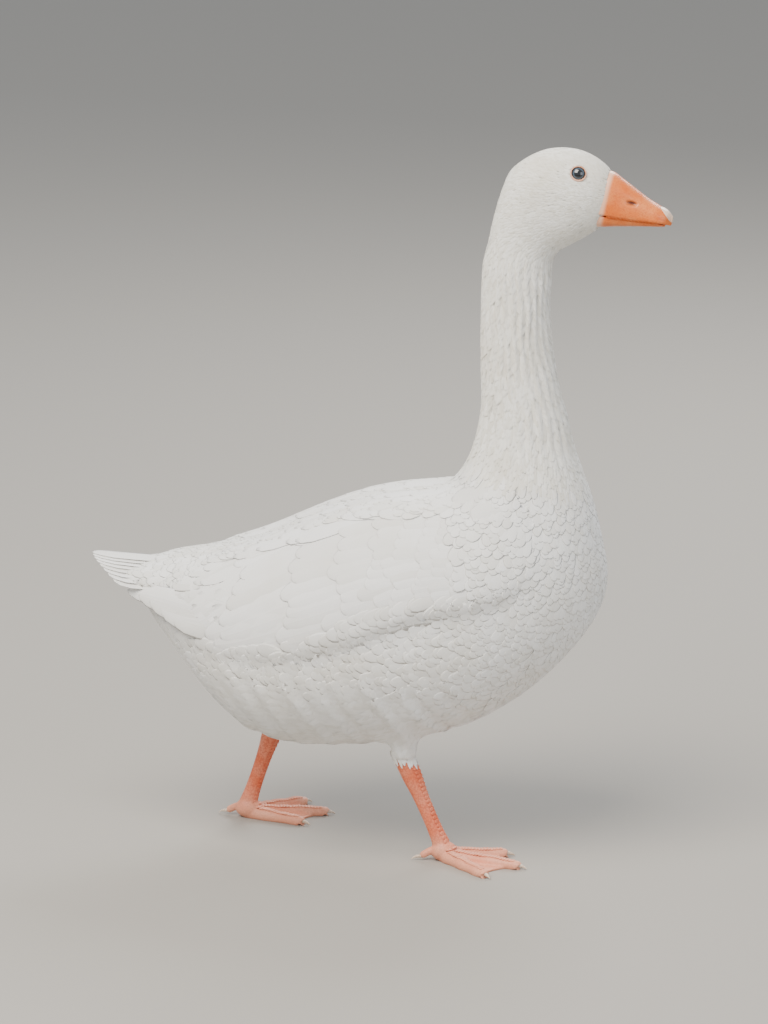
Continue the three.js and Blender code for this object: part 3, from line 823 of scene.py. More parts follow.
def vane_points(path, facing, outline, width, thick, sink, camber, across, lead, tree, lift):
    """Points of closed vanes, [feather, station, ring, xyz], and how far across the vane each lies."""
    count, stations = path.shape[:2]
    shares, widths = outline.T
    width, thick, sink, camber = (np.broadcast_to(size, count) for size in (width, thick, sink, camber))
    tangent = unit(np.gradient(path, axis=1))
    facing = along_surface(facing, tangent)
    side = np.cross(facing, tangent)
    u = np.sin(np.linspace(-0.5, 0.5, across) * math.pi)  # closer at the rims
    half = 0.5 * np.outer(width, widths)[:, :, None]
    body = np.clip(1.2 - shares, 0.22, 1)  # thinner to the tip
    bowed = half * (u + (1 - 2 * lead) * (1 - u**2))
    spread = path[:, :, None] + side[:, :, None] * bowed[..., None]
    away = np.broadcast_to(facing[:, :, None], spread.shape)
    if tree is not None:
        places, normals = nearest(tree, spread.reshape(-1, 3))
        spread, away = places.reshape(spread.shape), normals.reshape(spread.shape)
    fall = half * 2 * camber[:, None, None] * u**2
    root = (sink[:, None] * (1 - shares) ** 1.3)[:, :, None]
    height = np.broadcast_to(lift, (count, stations))[:, :, None] - fall - root
    if tree is not None:
        height = height + coat_relief(spread.reshape(-1, 3)).reshape(height.shape)
    top = spread + away * height[..., None]
    under = top[:, :, across // 2] - facing * (thick[:, None] * body)[:, :, None]
    return np.concatenate([top, under[:, :, None]], axis=2), np.r_[(u + 1) / 2, 0.5]


def vane_faces(count, stations, around):
    """Vertex numbers of closed vanes' faces, one after another, and where each face starts."""
    index = np.arange(count * stations * around).reshape(count, stations, around)
    turned = np.roll(index, -1, axis=2)
    quads = np.stack([index[:, :-1], index[:, 1:], turned[:, 1:], turned[:, :-1]], axis=-1)
    caps = np.stack([index[:, 0], index[:, -1, ::-1]], axis=1)
    loops = np.concatenate([quads.reshape(count, -1), caps.reshape(count, -1)], axis=1)
    sizes = np.r_[np.full((stations - 1) * around, 4), np.full(2, around)]
    starts = np.arange(count)[:, None] * loops.shape[1] + np.r_[0, np.cumsum(sizes)[:-1]]
    return loops.ravel().astype(np.int32), starts.ravel().astype(np.int32)


def vane_rims(mesh, stations, around):
    """Which edges run along a vane's rims or close its ends."""
    edges = read_edges(mesh)
    place, station = edges % around, edges // around % stations
    long_rim = (place[:, 0] == place[:, 1]) & np.isin(place[:, 0], (0, around - 2))
    end_rim = (station[:, 0] == station[:, 1]) & np.isin(station[:, 0], (0, stations - 1))
    return long_rim | end_rim


def feather_coat(
    name,
    material,
    outline,
    path,
    facing,
    width,
    thick,
    sink,
    camber,
    tint,
    across=7,
    lead=0.5,
    tree=None,
    lift=0.0,
    crisp=False,
    unwrap=TRUNK_UNWRAP,
    replaces=(),
):
    """One piece of many closed feather vanes.

    path and facing are [feather, station, xyz] and outline gives (share, width share) at each station.
    width, thick, sink (how deep the root lies) and camber (edges' fall as a share of width) are given for
    each feather, or once for all. across counts the points over the top of a vane.
    lead is where the shaft lies across a vane, 0.5 in the middle. With a tree, the vane is pressed onto
    that surface, and lift [feather, station] is its height above it. crisp leaves out the soft rounding
    of the vane's rim. unwrap is the middle, axis and start of the coat's own map.
    """
    rings, vane_u = vane_points(path, facing, outline, width, thick, sink, camber, across, lead, tree, lift)
    count, stations, around = rings.shape[:3]
    loops, starts = vane_faces(count, stations, around)
    mesh = bpy.data.meshes.new(name)
    mesh.vertices.add(count * stations * around)
    mesh.vertices.foreach_set("co", ((rings.reshape(-1, 3) + SHIFT) * MM).astype(np.float32).ravel())
    mesh.loops.add(loops.size)
    mesh.loops.foreach_set("vertex_index", loops)
    mesh.polygons.add(len(starts))
    mesh.polygons.foreach_set("loop_start", starts)
    mesh.update(calc_edges=True)
    grid = np.stack(np.meshgrid(vane_u, outline[:, 0]), axis=-1).reshape(-1, 2)
    on_vane = np.tile(grid, (count, 1))
    on_map = np.repeat(unwrap_around(path[:, 0], *unwrap), stations * around, axis=0)
    for layer, coords in (("OFBake", on_map + VANE_ON_MAP * (on_vane - 0.5)), ("Vane", on_vane)):
        uv = mesh.uv_layers.new(name=layer)
        uv.data.foreach_set("uv", coords[loops].astype(np.float32).ravel())
    keep_shade(mesh, "tint", np.repeat(tint, stations * around))
    if crisp:
        sharp = mesh.attributes.new("sharp_edge", "BOOLEAN", "EDGE")
        sharp.data.foreach_set("value", vane_rims(mesh, stations, around))
    return finish_piece(name, mesh, material, replaces)


def lay_coat(name, material, outline, tree, roots, lengths, way=lie, sway=None, **vanes):
    """Lays feathers over a surface from their roots. vanes are the rest of feather_coat's inputs."""
    path, facing = laid(tree, roots, lengths, outline[:, 0], way, sway)
    return feather_coat(name, material, outline, path, facing, tree=tree, **vanes)


def finish_piece(name, mesh, material, replaces=()):
    """Makes a mesh a smooth piece of the goose, on its one body."""
    mesh.polygons.foreach_set("use_smooth", np.ones(len(mesh.polygons), bool))
    if material is not None:
        mesh.materials.clear()
        mesh.materials.append(material)
    piece = make_object(name, mesh)
    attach(piece, "root")
    if replaces:
        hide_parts(*replaces)
    return piece


# ------------------------------------------------------------------ contour feathers of the body
SEED = 7
SAMPLES_PER_FEATHER = 8
EYE_CLEAR = 6.9  # the lid keeps feathers this far from the middle of the eye's opening
HEM = 99  # the lowest feather roots on the thighs
TAIL_COVER = (-203, 241)  # behind this X and above this height lie the tail's own feathers
RUMP_END = -226
LID_REACH, LEG_SKIN_TOP = 7.2, HEM - 5  # where the down gives way to bare skin
random = np.random.default_rng(SEED)


def tints(count):
    """How worn each feather is: most are fresh."""
    return random.random(count) ** 1.5


# Spacing, length, width and root depth of the feathers in each place.
BACK_SIZES, FRONT_SIZES = np.array([(4.8, 30, 14, 1.4), (4.0, 22, 10.5, 1.0)])
BELLY_SIZES, REAR_SIZES = np.array([(3.7, 27, 9.5, 1.0), (4.6, 32, 13, 1.2)])
HEAD_SIZES, FACE_SIZES = np.array([(1.7, 7.5, 2.8, 0.45), (1.2, 4.4, 1.9, 0.26)])
HOCK_SIZES, THIGH_SIZES = np.array([(2.1, 11, 4.2, 0.7), (3.6, 22, 8.5, 1.1)])
NECK_SIZES = np.array([2.35, 14.0, 4.6, 0.9])


def feather_sizes(points):
    """Spacing, length, width and root depth of the feather at each point."""
    x, z = points[:, 0], points[:, 2]
    s, _, h = head_place(points)
    sizes = blended(BACK_SIZES, FRONT_SIZES, smoothstep(x, 60, 160))
    sizes = blended(sizes, BELLY_SIZES, 1 - smoothstep(z, 120, 190))
    sizes = blended(sizes, REAR_SIZES, 1 - smoothstep(x, -150, -110))
    sizes[:, 1] = np.clip(x + 248, 8, sizes[:, 1])  # short enough to end before the tail does
    from_eye, from_bill = np.hypot(s - EYE_S, h - EYE_H), np.maximum(36 - s, 0) * 1.2
    face = 1 - smoothstep(np.minimum(from_eye - 4, from_bill), 1, 26)
    sizes = blended(sizes, NECK_SIZES, neck_share(points))
    sizes = blended(sizes, blended(HEAD_SIZES, FACE_SIZES, face), head_share(points))
    thigh = blended(HOCK_SIZES, THIGH_SIZES, smoothstep(z, 92, 135))
    return blended(sizes, thigh, thigh_share(points))


def under_wing_coat(points):
    """True where the folded wing's own feathers lie: inside its outline, but for its front and top."""
    x, z = points[:, 0], points[:, 2]
    low, high = wing_edges(within(x, WING_LOWER))
    flank_cover = 5 + 14 * smoothstep(x, -70, 60) + random.normal(0, 1.5, len(x))
    inside = (wing_depth_inside(points) > 0) & (z - low > flank_cover)
    inside &= x < 112 - 0.35 * (z - 290) + random.normal(0, 6, len(x))
    return inside & (high - z > 16) & (np.abs(points[:, 1]) > 50)


def scattered(points, spacing):
    """Numbers of the points kept so that none is nearer to another than its spacing."""
    tree = KDTree(len(points))
    for i, p in enumerate(points):
        tree.insert(p, i)
    tree.balance()
    gone = bytearray(len(points))
    kept = []
    for i, p in enumerate(points):
        if gone[i]:
            continue
        kept.append(i)
        for _, j, _ in tree.find_range(p, spacing[i]):
            gone[j] = 1
    return np.array(kept)


def surface_samples():
    """Random points on the hull, closer where feathers are smaller."""
    corners = hull_points[hull_faces]
    middle = corners.mean(axis=1)
    crossed = np.cross(corners[:, 1] - corners[:, 0], corners[:, 2] - corners[:, 0])
    want = np.linalg.norm(crossed, axis=1) * 0.5 / feather_sizes(middle)[:, 0] ** 2 * SAMPLES_PER_FEATHER
    number = random.poisson(want)
    chosen = np.repeat(np.arange(len(hull_faces)), number)
    a, b = random.random((2, len(chosen)))
    flip = a + b > 1
    a, b = np.where(flip, 1 - a, a), np.where(flip, 1 - b, b)
    c = corners[chosen]
    points = c[:, 0] + a[:, None] * (c[:, 1] - c[:, 0]) + b[:, None] * (c[:, 2] - c[:, 0])
    return points[random.permutation(len(points))]


def in_bill(points):
    """True inside the bill's outline, seen from the side, and in front of its base."""
    s, _, h = head_place(points)
    base = 42.0 + 1.0 * np.cos((h - 8) / 24 * math.pi)  # the base bows forward at its middle
    top = through(BILL_UPPER_ROWS)(within(s, BILL_UPPER_ROWS))[:, 0]
    bottom = through(BILL_LOWER_ROWS)(within(s, BILL_LOWER_ROWS))[:, 1]
    return (s > base) & (h < top + 0.5) & (h > bottom - 1.5)


samples = surface_samples()
bare = in_bill(samples)
for sign in SIDES.values():
    bare |= np.linalg.norm(samples - lid_middle(sign), axis=1) < EYE_CLEAR
bare |= under_wing_coat(samples)
bare |= (samples[:, 0] < TAIL_COVER[0]) & (samples[:, 2] > TAIL_COVER[1])
bare |= (samples[:, 2] < HEM + random.normal(0, 1.2, len(samples))) & (thigh_share(samples) > 0.5)
bare |= samples[:, 0] < RUMP_END
samples = samples[~bare]
roots = samples[scattered(samples, feather_sizes(samples)[:, 0])]

blur = random.normal(0, 8, len(roots))  # tracts grade into one another
region = np.select(
    [
        thigh_share(roots) > 0.5,
        head_share(roots) + 0.02 * blur > 0.5,
        neck_share(roots) + 0.012 * blur > 0.5,
        roots[:, 0] < -120,
        (roots[:, 0] > 90) & (roots[:, 2] + blur > 160),
        roots[:, 2] + blur < 165,
    ],
    ["thighs", "head", "neck", "rump", "breast", "belly"],
    "back",
)


def body_coat(tract, material, outline, across, thick, camber):
    """Lays the feathers of one tract."""
    places = roots[region == tract]
    count = len(places)
    _, lengths, widths, depths = feather_sizes(places).T
    lengths = lengths * random.normal(1, 0.1, count).clip(0.75, 1.3)
    sway = random.normal(0, 0.10, count)
    loose = random.normal(0.003, 0.008, count) * widths  # tips that stand a little off
    over_wing = 0.5 * smoothstep(wing_depth_inside(places), 0, 12)
    lay_coat(
        f"coat_{tract}",
        material,
        outline,
        hull_tree,
        places,
        lengths,
        sway=sway,
        width=widths * random.normal(1, 0.08, count).clip(0.8, 1.2),
        thick=thick,
        sink=depths,
        camber=camber,
        tint=tints(count),
        across=across,
        lift=loose[:, None] * outline[:, 0] ** 2 + over_wing[:, None],
        crisp=across < 5,
        unwrap=UNWRAPS.get(tract, TRUNK_UNWRAP),
    )


# Tracts: material, outline, points over the top, thickness and camber.
TRACTS = {
    "head": (NECK_FEATHER, SMALL_TIP, 3, 0.2, 0.1),
    "neck": (NECK_FEATHER, POINTED_TIP, 3, 0.3, 0.16),
    "breast": (BODY_FEATHER, SOFT_TIP, 5, 0.25, 0.03),
    "belly": (BODY_FEATHER, PLUME_TIP, 3, 0.25, 0.05),
    "back": (BODY_FEATHER, SOFT_TIP, 5, 0.3, 0.03),
    "rump": (BODY_FEATHER, SOFT_TIP, 5, 0.3, 0.03),
    "thighs": (BODY_FEATHER, PLUME_TIP, 3, 0.25, 0.08),
}
for tract, looks in TRACTS.items():
    body_coat(tract, *looks)


# ------------------------------------------------------------------ one skin under the coat
def loop_shell(rings):
    """Closed tube over rings that meet end to end."""
    rings = np.asarray(rings)
    count, points = rings.shape[:2]
    index = np.arange(count * points).reshape(count, points)
    ahead, turned = np.roll(index, -1, axis=0), np.roll(index, -1, axis=1)
    quads = np.stack([index, turned, np.roll(ahead, -1, axis=1), ahead], axis=-1)
    return rings.reshape(-1, 3), quads.reshape(-1, 4).tolist()


def lid_shell(sign):
    """The rolled rim of bare skin round an eye: an oval ring, thicker above."""
    _, outward, level, upward = eye_frame(sign)
    rings = []
    for turn in np.linspace(0, 2 * math.pi, 49)[:-1]:
        way = math.cos(turn) * level + math.sin(turn) * upward
        reach = LID_OPENING * (1 + 0.08 * math.cos(turn) ** 2) + 0.45
        roll = LID_ROLL * (1 + 0.25 * max(0, math.sin(turn)))
        middle = lid_middle(sign) + outward * 0.15 + way * reach
        rings.append(section(middle, way, outward, roll, roll, roll, 12))
    return loop_shell(rings)


def shank_shell(leg):
    hock, toes = leg_joints(leg, "hock", "toes")
    top = hock + (hock - toes) * 0.12
    radii = along([(r,) for r in SHANK_RADII])

    def size(t):
        r = float(radii(np.clip((t - 0.11) / 0.89, 0, 1))[0])
        return r * SHANK_SIDE, r

    return limb([top, (top + toes) / 2, toes], size, points=28, steps=30, up=X_AXIS)


def on_foot(leg, turn, forward, z):
    """A point of the foot: forward along a toe's direction from the toe root, at a height."""
    direction = math.radians((leg["heading"] - turn) * leg["y"])
    (root,) = leg_joints(leg, "toes")
    return np.array([root[0] + forward * math.cos(direction), root[1] + forward * math.sin(direction), z])


def toe_way(leg, turn):
    """Level direction of a toe."""
    return unit(on_foot(leg, turn, 1, 0) - on_foot(leg, turn, 0, 0))


def toe_radius(t, joints=3):
    return TOE_ROOT + (TOE_TIP - TOE_ROOT) * t + 0.8 * math.sin(t * math.pi * joints) ** 2


def toe_shell(leg, turn, length, joints):
    path = [on_foot(leg, turn, t * length, 0.72 * toe_radius(t)) for t in (0, 0.35, 0.7, 1)]
    path.append(on_foot(leg, turn, length + 1.5, 0.5 * TOE_TIP))

    def size(t):
        close = math.sqrt(max(1 - max(0, (t - 0.93) / 0.07) ** 2, 0.05))
        return (toe_radius(t, joints) * close,) * 2

    return limb(path, size, points=20, steps=40)


def web_shell(leg):
    """The web from toe tip to toe tip, with its free edge curved in."""
    inner, middle, outer = (TOES[name][:2] for name in ("inner", "middle", "outer"))
    outline = [on_foot(leg, 0, -3, 0), on_foot(leg, inner[0], inner[1] * WEB_REACH, 0)]
    for first, second in ((inner, middle), (middle, outer)):
        start = on_foot(leg, first[0], first[1] * WEB_REACH, 0)
        end = on_foot(leg, second[0], second[1] * WEB_REACH, 0)
        control = on_foot(leg, (first[0] + second[0]) / 2, (first[1] + second[1]) / 2 * 0.8, 0)
        for t in np.linspace(0, 1, 13)[1:]:
            outline.append((1 - t) ** 2 * start + 2 * t * (1 - t) * control + t * t * end)
    outline = np.array(outline)
    if leg["y"] > 0:
        outline = outline[::-1]
    return loft([outline, outline + [0, 0, WEB_THICKNESS * 0.85]])


def hind_toe_shell(leg):
    root = on_foot(leg, HIND_INWARD, 1, HIND_RISE)
    end = on_foot(leg, HIND_INWARD, -HIND_LENGTH, HIND_RADIUS)
    middle = (root + end) / 2 + [0, 0, 2]

    def size(t):
        close = math.sqrt(max(1 - max(0, (t - 0.88) / 0.12) ** 2, 0.05))
        return (HIND_RADIUS * (1 - 0.1 * t) * close,) * 2

    return limb([root, middle, end], size, points=16, steps=20)


def ball_shell(leg):
    """The round joint where the toes meet."""
    centre = on_foot(leg, 0, 1, 8.5)
    rings = []
    for latitude in np.linspace(-84, 84, 24):
        share, lift = math.cos(math.radians(latitude)), math.sin(math.radians(latitude))
        wide = 9.4 * share
        rings.append(section(centre + [0, 0, 9.2 * lift], X_AXIS, Y_AXIS, 12 * share, wide, wide, 28))
    return loft(rings)


FINE_FACE = 0.95  # face size of feet and lids, in millimetres
bare_shells = [lid_shell(sign) for sign in SIDES.values()]
for leg in LEGS.values():
    bare_shells += [shank_shell(leg), ball_shell(leg), web_shell(leg), hind_toe_shell(leg)]
    bare_shells += [toe_shell(leg, *toe) for toe in TOES.values()]
bare_mesh = fused("bare_skin", bare_shells, FINE_FACE)
bare_points = relaxed(read_points(bare_mesh), read_edges(bare_mesh), 0.7, 3)
bare_points[:, 2] = np.where(bare_points[:, 2] < 0.25, 0, bare_points[:, 2])  # flat soles
write_points(bare_mesh, bare_points)

outward = read_values(hull_mesh.vertex_normals, "vector", 3)
skin_depth = np.maximum(feather_sizes(hull_points)[:, 3] * 1.25 + 0.4, 0.9)
skin_height = coat_relief(hull_points) - skin_depth
write_points(hull_mesh, hull_points + outward * skin_height[:, None])
hull_mesh.name = "skin"

skin_object = make_object("skin", hull_mesh)
bare_object = make_object("bare_skin", bare_mesh)
union = skin_object.modifiers.new("union", "BOOLEAN")
union.operation = "UNION"
union.solver = "MANIFOLD"
union.object = bare_object
skin_mesh = applied(skin_object)
bpy.data.objects.remove(bare_object)
skin_points = read_points(skin_mesh)
middles = read_values(skin_mesh.polygons, "center", 3) / MM - SHIFT
eye_distances = [np.linalg.norm(middles - lid_middle(sign), axis=1) for sign in SIDES.values()]
near_eye = np.min(eye_distances, axis=0) < LID_REACH
kind = np.where(middles[:, 2] < LEG_SKIN_TOP, 1, np.where(near_eye, 2, 0))
skin_mesh.materials.clear()
for material in (DOWN, LEG_SKIN, LID_SKIN):
    skin_mesh.materials.append(material)
skin_mesh.polygons.foreach_set("material_index", kind.astype(np.int32))
flesh_nodes = ["trunk", "neck", "head"]
for side in SIDES:
    flesh_nodes += [f"thigh_{side}", f"shank_{side}", f"foot_{side}", f"hind_toe_{side}"]


def pale_toes(mesh):
    """Keeps how much paler toes and webs are than the shanks."""
    keep_shade(mesh, "margin", 0.42 * (1 - smoothstep(read_points(mesh)[:, 2], 5, 30)))


pale_toes(skin_mesh)
finish_piece("skin", skin_mesh, None, flesh_nodes)

# ------------------------------------------------------------------ ragged edge of the coat at the hocks
FRINGE_ROWS, FRINGE_COUNT = 4, 44
FRINGE_RADIUS = 17  # roots are sought inwards from this far round the leg's middle
skin_tree = BVHTree.FromPolygons(skin_points.tolist(), read_faces(skin_mesh).tolist())


def down_the_leg(points, normals):
    """Feathers at the hock point down along the shank."""
    heading = np.zeros(points.shape)
    for leg in LEGS.values():
        hock, toes = leg_joints(leg, "hock", "toes")
        heading[points[:, 1] * leg["y"] > 0] = unit(toes - hock)
    return along_surface(heading, normals)


fringe = []
for leg in LEGS.values():
    hock, knee = leg_joints(leg, "hock", "knee")
    for row in range(FRINGE_ROWS):
        centre = hock + unit(knee - hock) * (3.5 + 2.5 * row)
        steps = np.arange(FRINGE_COUNT) + 0.5 * row + random.normal(0, 0.25, FRINGE_COUNT)
        for turn in steps / FRINGE_COUNT * 2 * math.pi:
            fringe.append(centre + FRINGE_RADIUS * (math.cos(turn) * X_AXIS + math.sin(turn) * Y_AXIS))
fringe = np.array(fringe)
count = len(fringe)
lay_coat(
    "coat_hocks",
    BODY_FEATHER,
    PLUME_TIP,
    skin_tree,
    fringe,
    random.uniform(8, 15, count),
    way=down_the_leg,
    sway=random.normal(0, 0.15, count),
    width=random.uniform(2.2, 3.6, count),
    thick=0.25,
    sink=1.8,
    camber=0.06,
    tint=tints(count),
    across=3,
    lift=2.1 - 1.3 * PLUME_TIP[None, :, 0] + random.normal(0, 0.15, count)[:, None],
    crisp=True,
)


# ------------------------------------------------------------------ scutes and bill combs
PLATE_SIZES = ("Plate length", "Plate width", "Plate height")


def plate_tree(name, material):
    """Geometry nodes that set a rounded plate on each point, turned and sized by its attributes."""
    tree = bpy.data.node_groups.new(name, "GeometryNodeTree")
    tree.interface.new_socket("Geometry", in_out="INPUT", socket_type="NodeSocketGeometry")
    for label in PLATE_SIZES:
        tree.interface.new_socket(label, in_out="INPUT", socket_type="NodeSocketFloat")
    tree.interface.new_socket("Geometry", in_out="OUTPUT", socket_type="NodeSocketGeometry")
    given = add_node(tree, "NodeGroupInput")
    pebble = add_node(tree, "GeometryNodeMeshUVSphere", {"Segments": 12, "Rings": 7, "Radius": 0.5})
    by_axis = {axis: given.outputs[label] for axis, label in zip("XYZ", PLATE_SIZES)}
    sizes = add_node(tree, "ShaderNodeCombineXYZ", by_axis)
    plate = add_node(
        tree,
        "GeometryNodeTransform",
        {"Geometry": pebble.outputs["Mesh"], "Scale": sizes.outputs["Vector"]},
    )
    turn = add_node(tree, "GeometryNodeInputNamedAttribute", {"Name": "turn"}, data_type="FLOAT_VECTOR")
    size = add_node(tree, "GeometryNodeInputNamedAttribute", {"Name": "size"}, data_type="FLOAT_VECTOR")
    placed = add_node(
        tree,
        "GeometryNodeInstanceOnPoints",
        {
            "Points": given.outputs["Geometry"],
            "Instance": plate.outputs["Geometry"],
            "Rotation": turn.outputs["Attribute"],
            "Scale": size.outputs["Attribute"],
        },
    )
    real = add_node(tree, "GeometryNodeRealizeInstances", {"Geometry": placed.outputs["Instances"]})
    finished = add_node(
        tree, "GeometryNodeSetMaterial", {"Geometry": real.outputs["Geometry"], "Material": material}
    )
    add_node(tree, "NodeGroupOutput", {"Geometry": finished.outputs["Geometry"]})
    return tree


def plates(name, material, spots, length, width, height):
    """A piece of many plates. A spot is a plate's place, forward and outward directions and scale."""
    cloud = bpy.data.meshes.new(name)
    places = (np.array([spot[0] for spot in spots]) + SHIFT) * MM
    cloud.from_pydata(places.tolist(), [], [])
    turns = []
    for _, forward, outward, _ in spots:
        forward = unit(forward - (forward @ outward) * outward)
        frame_axes = Matrix((forward, np.cross(outward, forward), outward)).transposed()
        turns.append(tuple(frame_axes.to_euler()))
    for label, values in (("turn", turns), ("size", [spot[3] for spot in spots])):
        attribute = cloud.attributes.new(label, "FLOAT_VECTOR", "POINT")
        attribute.data.foreach_set("vector", np.array(values, np.float32).ravel())
    cloud_object = make_object(name, cloud)
    modifier = cloud_object.modifiers.new("plates", "NODES")
    modifier.node_group = plate_tree(name, material)
    wanted = dict(zip(PLATE_SIZES, (length, width, height)))
    for item in modifier.node_group.interface.items_tree:
        if item.name in wanted:
            modifier[item.identifier] = wanted[item.name] * MM
    mesh = applied(cloud_object)
    pale_toes(mesh)
    return finish_piece(name, mesh, material)


SHANK_SCUTES = 19  # in each of two columns
TOE_SCUTE_SPACING = 3.1
TOE_CROWN = 1.72  # height of a toe's top, as a share of its radius


def shank_scutes(leg):
    """Broad scutes down the front of a shank."""
    hock, toes = leg_joints(leg, "hock", "toes")
    way = unit(toes - hock)
    front = unit(X_AXIS - (X_AXIS @ way) * way)
    radii = along([(r,) for r in SHANK_RADII])
    spots = []
    for t in np.linspace(0.12, 0.93, SHANK_SCUTES):
        r = float(radii(t)[0])
        for lean in (-0.5, 0.5):
            side = np.cross(way, front) * lean
            place = hock + (toes - hock) * (t + 0.02 * lean) + front * r * 0.86 + side * r * SHANK_SIDE * 0.8
            spots.append((place, way, unit(front + side), (1, r / 7, 1)))
    return spots


def toe_scutes(leg, turn, length, joints):
    """Scutes along the top of a toe."""
    way = toe_way(leg, turn)
    spots = []
    for t in np.linspace(0.12, 0.97, int(length / TOE_SCUTE_SPACING)):
        r = toe_radius(t, joints)
        place = on_foot(leg, turn, t * length, TOE_CROWN * r + 3)
        top = skin_tree.ray_cast(Vector(place), -Vector(Z_AXIS))[0]
        place[2] = max(top.z, TOE_CROWN * r - 0.5) - 0.1
        spots.append((place, way, Z_AXIS, (0.85, r / 5.2, 1)))
    return spots


scute_spots = []
for leg in LEGS.values():
    scute_spots += shank_scutes(leg)
    for toe in TOES.values():
        scute_spots += toe_scutes(leg, *toe)
plates("scutes", LEG_SKIN, scute_spots, length=4.3, width=7.4, height=1.5)


def comb_spots():
    """The fine combs along both of the upper bill's cutting edges."""
    profile = through(BILL_UPPER_ROWS)
    spots = []
    for sign in SIDES.values():
        for s in np.linspace(48, 92, 38):
            _, bottom, wide = profile(s)
            place = on_head(s, sign * (wide * 0.955 - 0.2), bottom + 0.05)
            spots.append((place, HEAD_FORWARD, np.array([0.0, sign, 0]), (1, 1, 1)))
    return spots


plates("bill_combs", BILL_SKIN, comb_spots(), length=0.8, width=1.7, height=0.9)


# ------------------------------------------------------------------ claws
HIND_CLAW = 0.72  # its size as a share of the front ones


def claw_shell(start, direction, size=1):
    """A claw that leaves the toe's tip and curves down to the floor."""
    reach = CLAW_LENGTH * size

    def at(share, fall):
        return start + direction * share * reach - [0, 0, fall]

    path = [at(-0.35, -0.3), at(0.3, 0), at(0.7, 0.8), at(1, 2.6)]

    def radii(t):
        return 2.4 * size * (1 - 0.84 * t), 2.6 * size * (1 - 0.82 * t)

    points, faces = limb(path, radii, points=16, steps=16)
    points[:, 2] = np.maximum(points[:, 2], 0.05)
    return points, faces


claw_shells, claw_nodes = [], []
for side, leg in LEGS.items():
    for name, (turn, length, _) in TOES.items():
        start = on_foot(leg, turn, length, TOE_TIP * 0.95)
        claw_shells.append(claw_shell(start, toe_way(leg, turn)))
        claw_nodes.append(f"claw_{side}_{name}")
    start = on_foot(leg, HIND_INWARD, -HIND_LENGTH, HIND_RADIUS)
    claw_shells.append(claw_shell(start, -toe_way(leg, HIND_INWARD), HIND_CLAW))
    claw_nodes.append(f"claw_{side}_hind")
finish_piece("claws", make_mesh("claws", *merged(claw_shells)), CLAW_HORN, claw_nodes)


# ------------------------------------------------------------------ bill
LIP_POWER = 7  # the biting sides are nearly flat, so that the lips meet in a thin line
NOSTRIL_S, NOSTRIL_H = 66, 11.5
ROUNDING = {0.5: 0.82, 0.8: 0.45}  # the bill's tip: distance past its last row, and size there


def bill_shell(rows, edge_share, powers, push, rings=120, points=112):
    """Half of the bill, with its tip rounded over. push(s, y, h, edge) moves its surface outward."""
    profile = through(rows)
    first, last = rows[0][0], rows[-1][0]
    made = []
    stops = [(s, 1) for s in np.linspace(first, last, rings)]
    for s, close in stops + [(last + past, size) for past, size in ROUNDING.items()]:
        top, bottom, wide = profile(min(s, last))
        edge = bottom + (top - bottom) * edge_share
        above, below = (top - edge) * close, (edge - bottom) * close
        middle = on_head(s, 0, edge)
        ring = section(middle, Y_AXIS, HEAD_UP, wide * close, above, below, points, *powers)
        _, y, h = head_place(ring)
        away = unit(ring - on_head(s, 0, (top + bottom) / 2))
        made.append(ring + away * push(np.full(points, s), y, h, edge)[:, None])
    return loft(made)


def upper_push(s, y, h, edge):
    """Nostril and its shallow basin, the rolled cutting edge, and the swelling along the ridge."""
    basin = np.exp(-(((s - NOSTRIL_S + 3) / 13) ** 2) - ((h - NOSTRIL_H - 1) / 5) ** 2)
    hole = np.exp(-((((s - NOSTRIL_S) / 4.6) ** 2 + ((h - NOSTRIL_H) / 1.9) ** 2) ** 2))
    rim = np.exp(-(((h - edge) / 1.1) ** 2)) * smoothstep(s, 38, 60)
    ridge = np.exp(-((y / 3.5) ** 2)) * smoothstep(h, 8, 14)
    return -0.9 * basin - 2.2 * hole + 0.35 * rim + 0.25 * ridge


def lower_push(s, y, h, edge):
    """The rolled cutting edge of the lower bill."""
    return 0.3 * np.exp(-(((h - edge) / 0.9) ** 2))


def head_part(name, shell, material, slot, replaces, **shades):
    """A piece of the head. shades are functions of s, y and h, kept as attributes."""
    mesh = make_mesh(name, *shell)
    for attribute, shade in shades.items():
        keep_shade(mesh, attribute, shade(*head_place(shell[0])))
    return finish_piece(name, mesh, material, replaces)


def nostril_hollow(s, y, h):
    """Dark inside the nostrils, one on each side of the ridge."""
    hole = np.exp(-((((s - NOSTRIL_S) / 4.2) ** 2 + ((h - NOSTRIL_H) / 1.7) ** 2) ** 2))
    return hole * (np.abs(y) > 4)


def base_margin(s, y, h):
    """Paler skin where the bill comes out of the feathers."""
    return 0.75 * (1 - smoothstep(s, 42.5, 46.5))


head_part(
    "bill_upper_hide",
    bill_shell(BILL_UPPER_ROWS, UPPER_EDGE, (BILL_POWER, LIP_POWER), upper_push),
    BILL_SKIN,
    "bill_skin",
    ["bill_upper"],
    hollow=nostril_hollow,
    margin=base_margin,
)
head_part(
    "bill_lower_hide",
    bill_shell(BILL_LOWER_ROWS, LOWER_EDGE, (LIP_POWER, BILL_POWER), lower_push),
    BILL_SKIN,
    "bill_skin",
    ["bill_lower"],
    margin=base_margin,
)


NAIL_REAR, NAIL_FRONT, NAIL_LIFT, NAIL_DEPTH = 90.2, 103.1, 0.55, 0.8


def quarter_wave(share):
    """Rises from 0 to 1 and levels off at 1."""
    return math.sin(min(share, 1) * math.pi / 2)


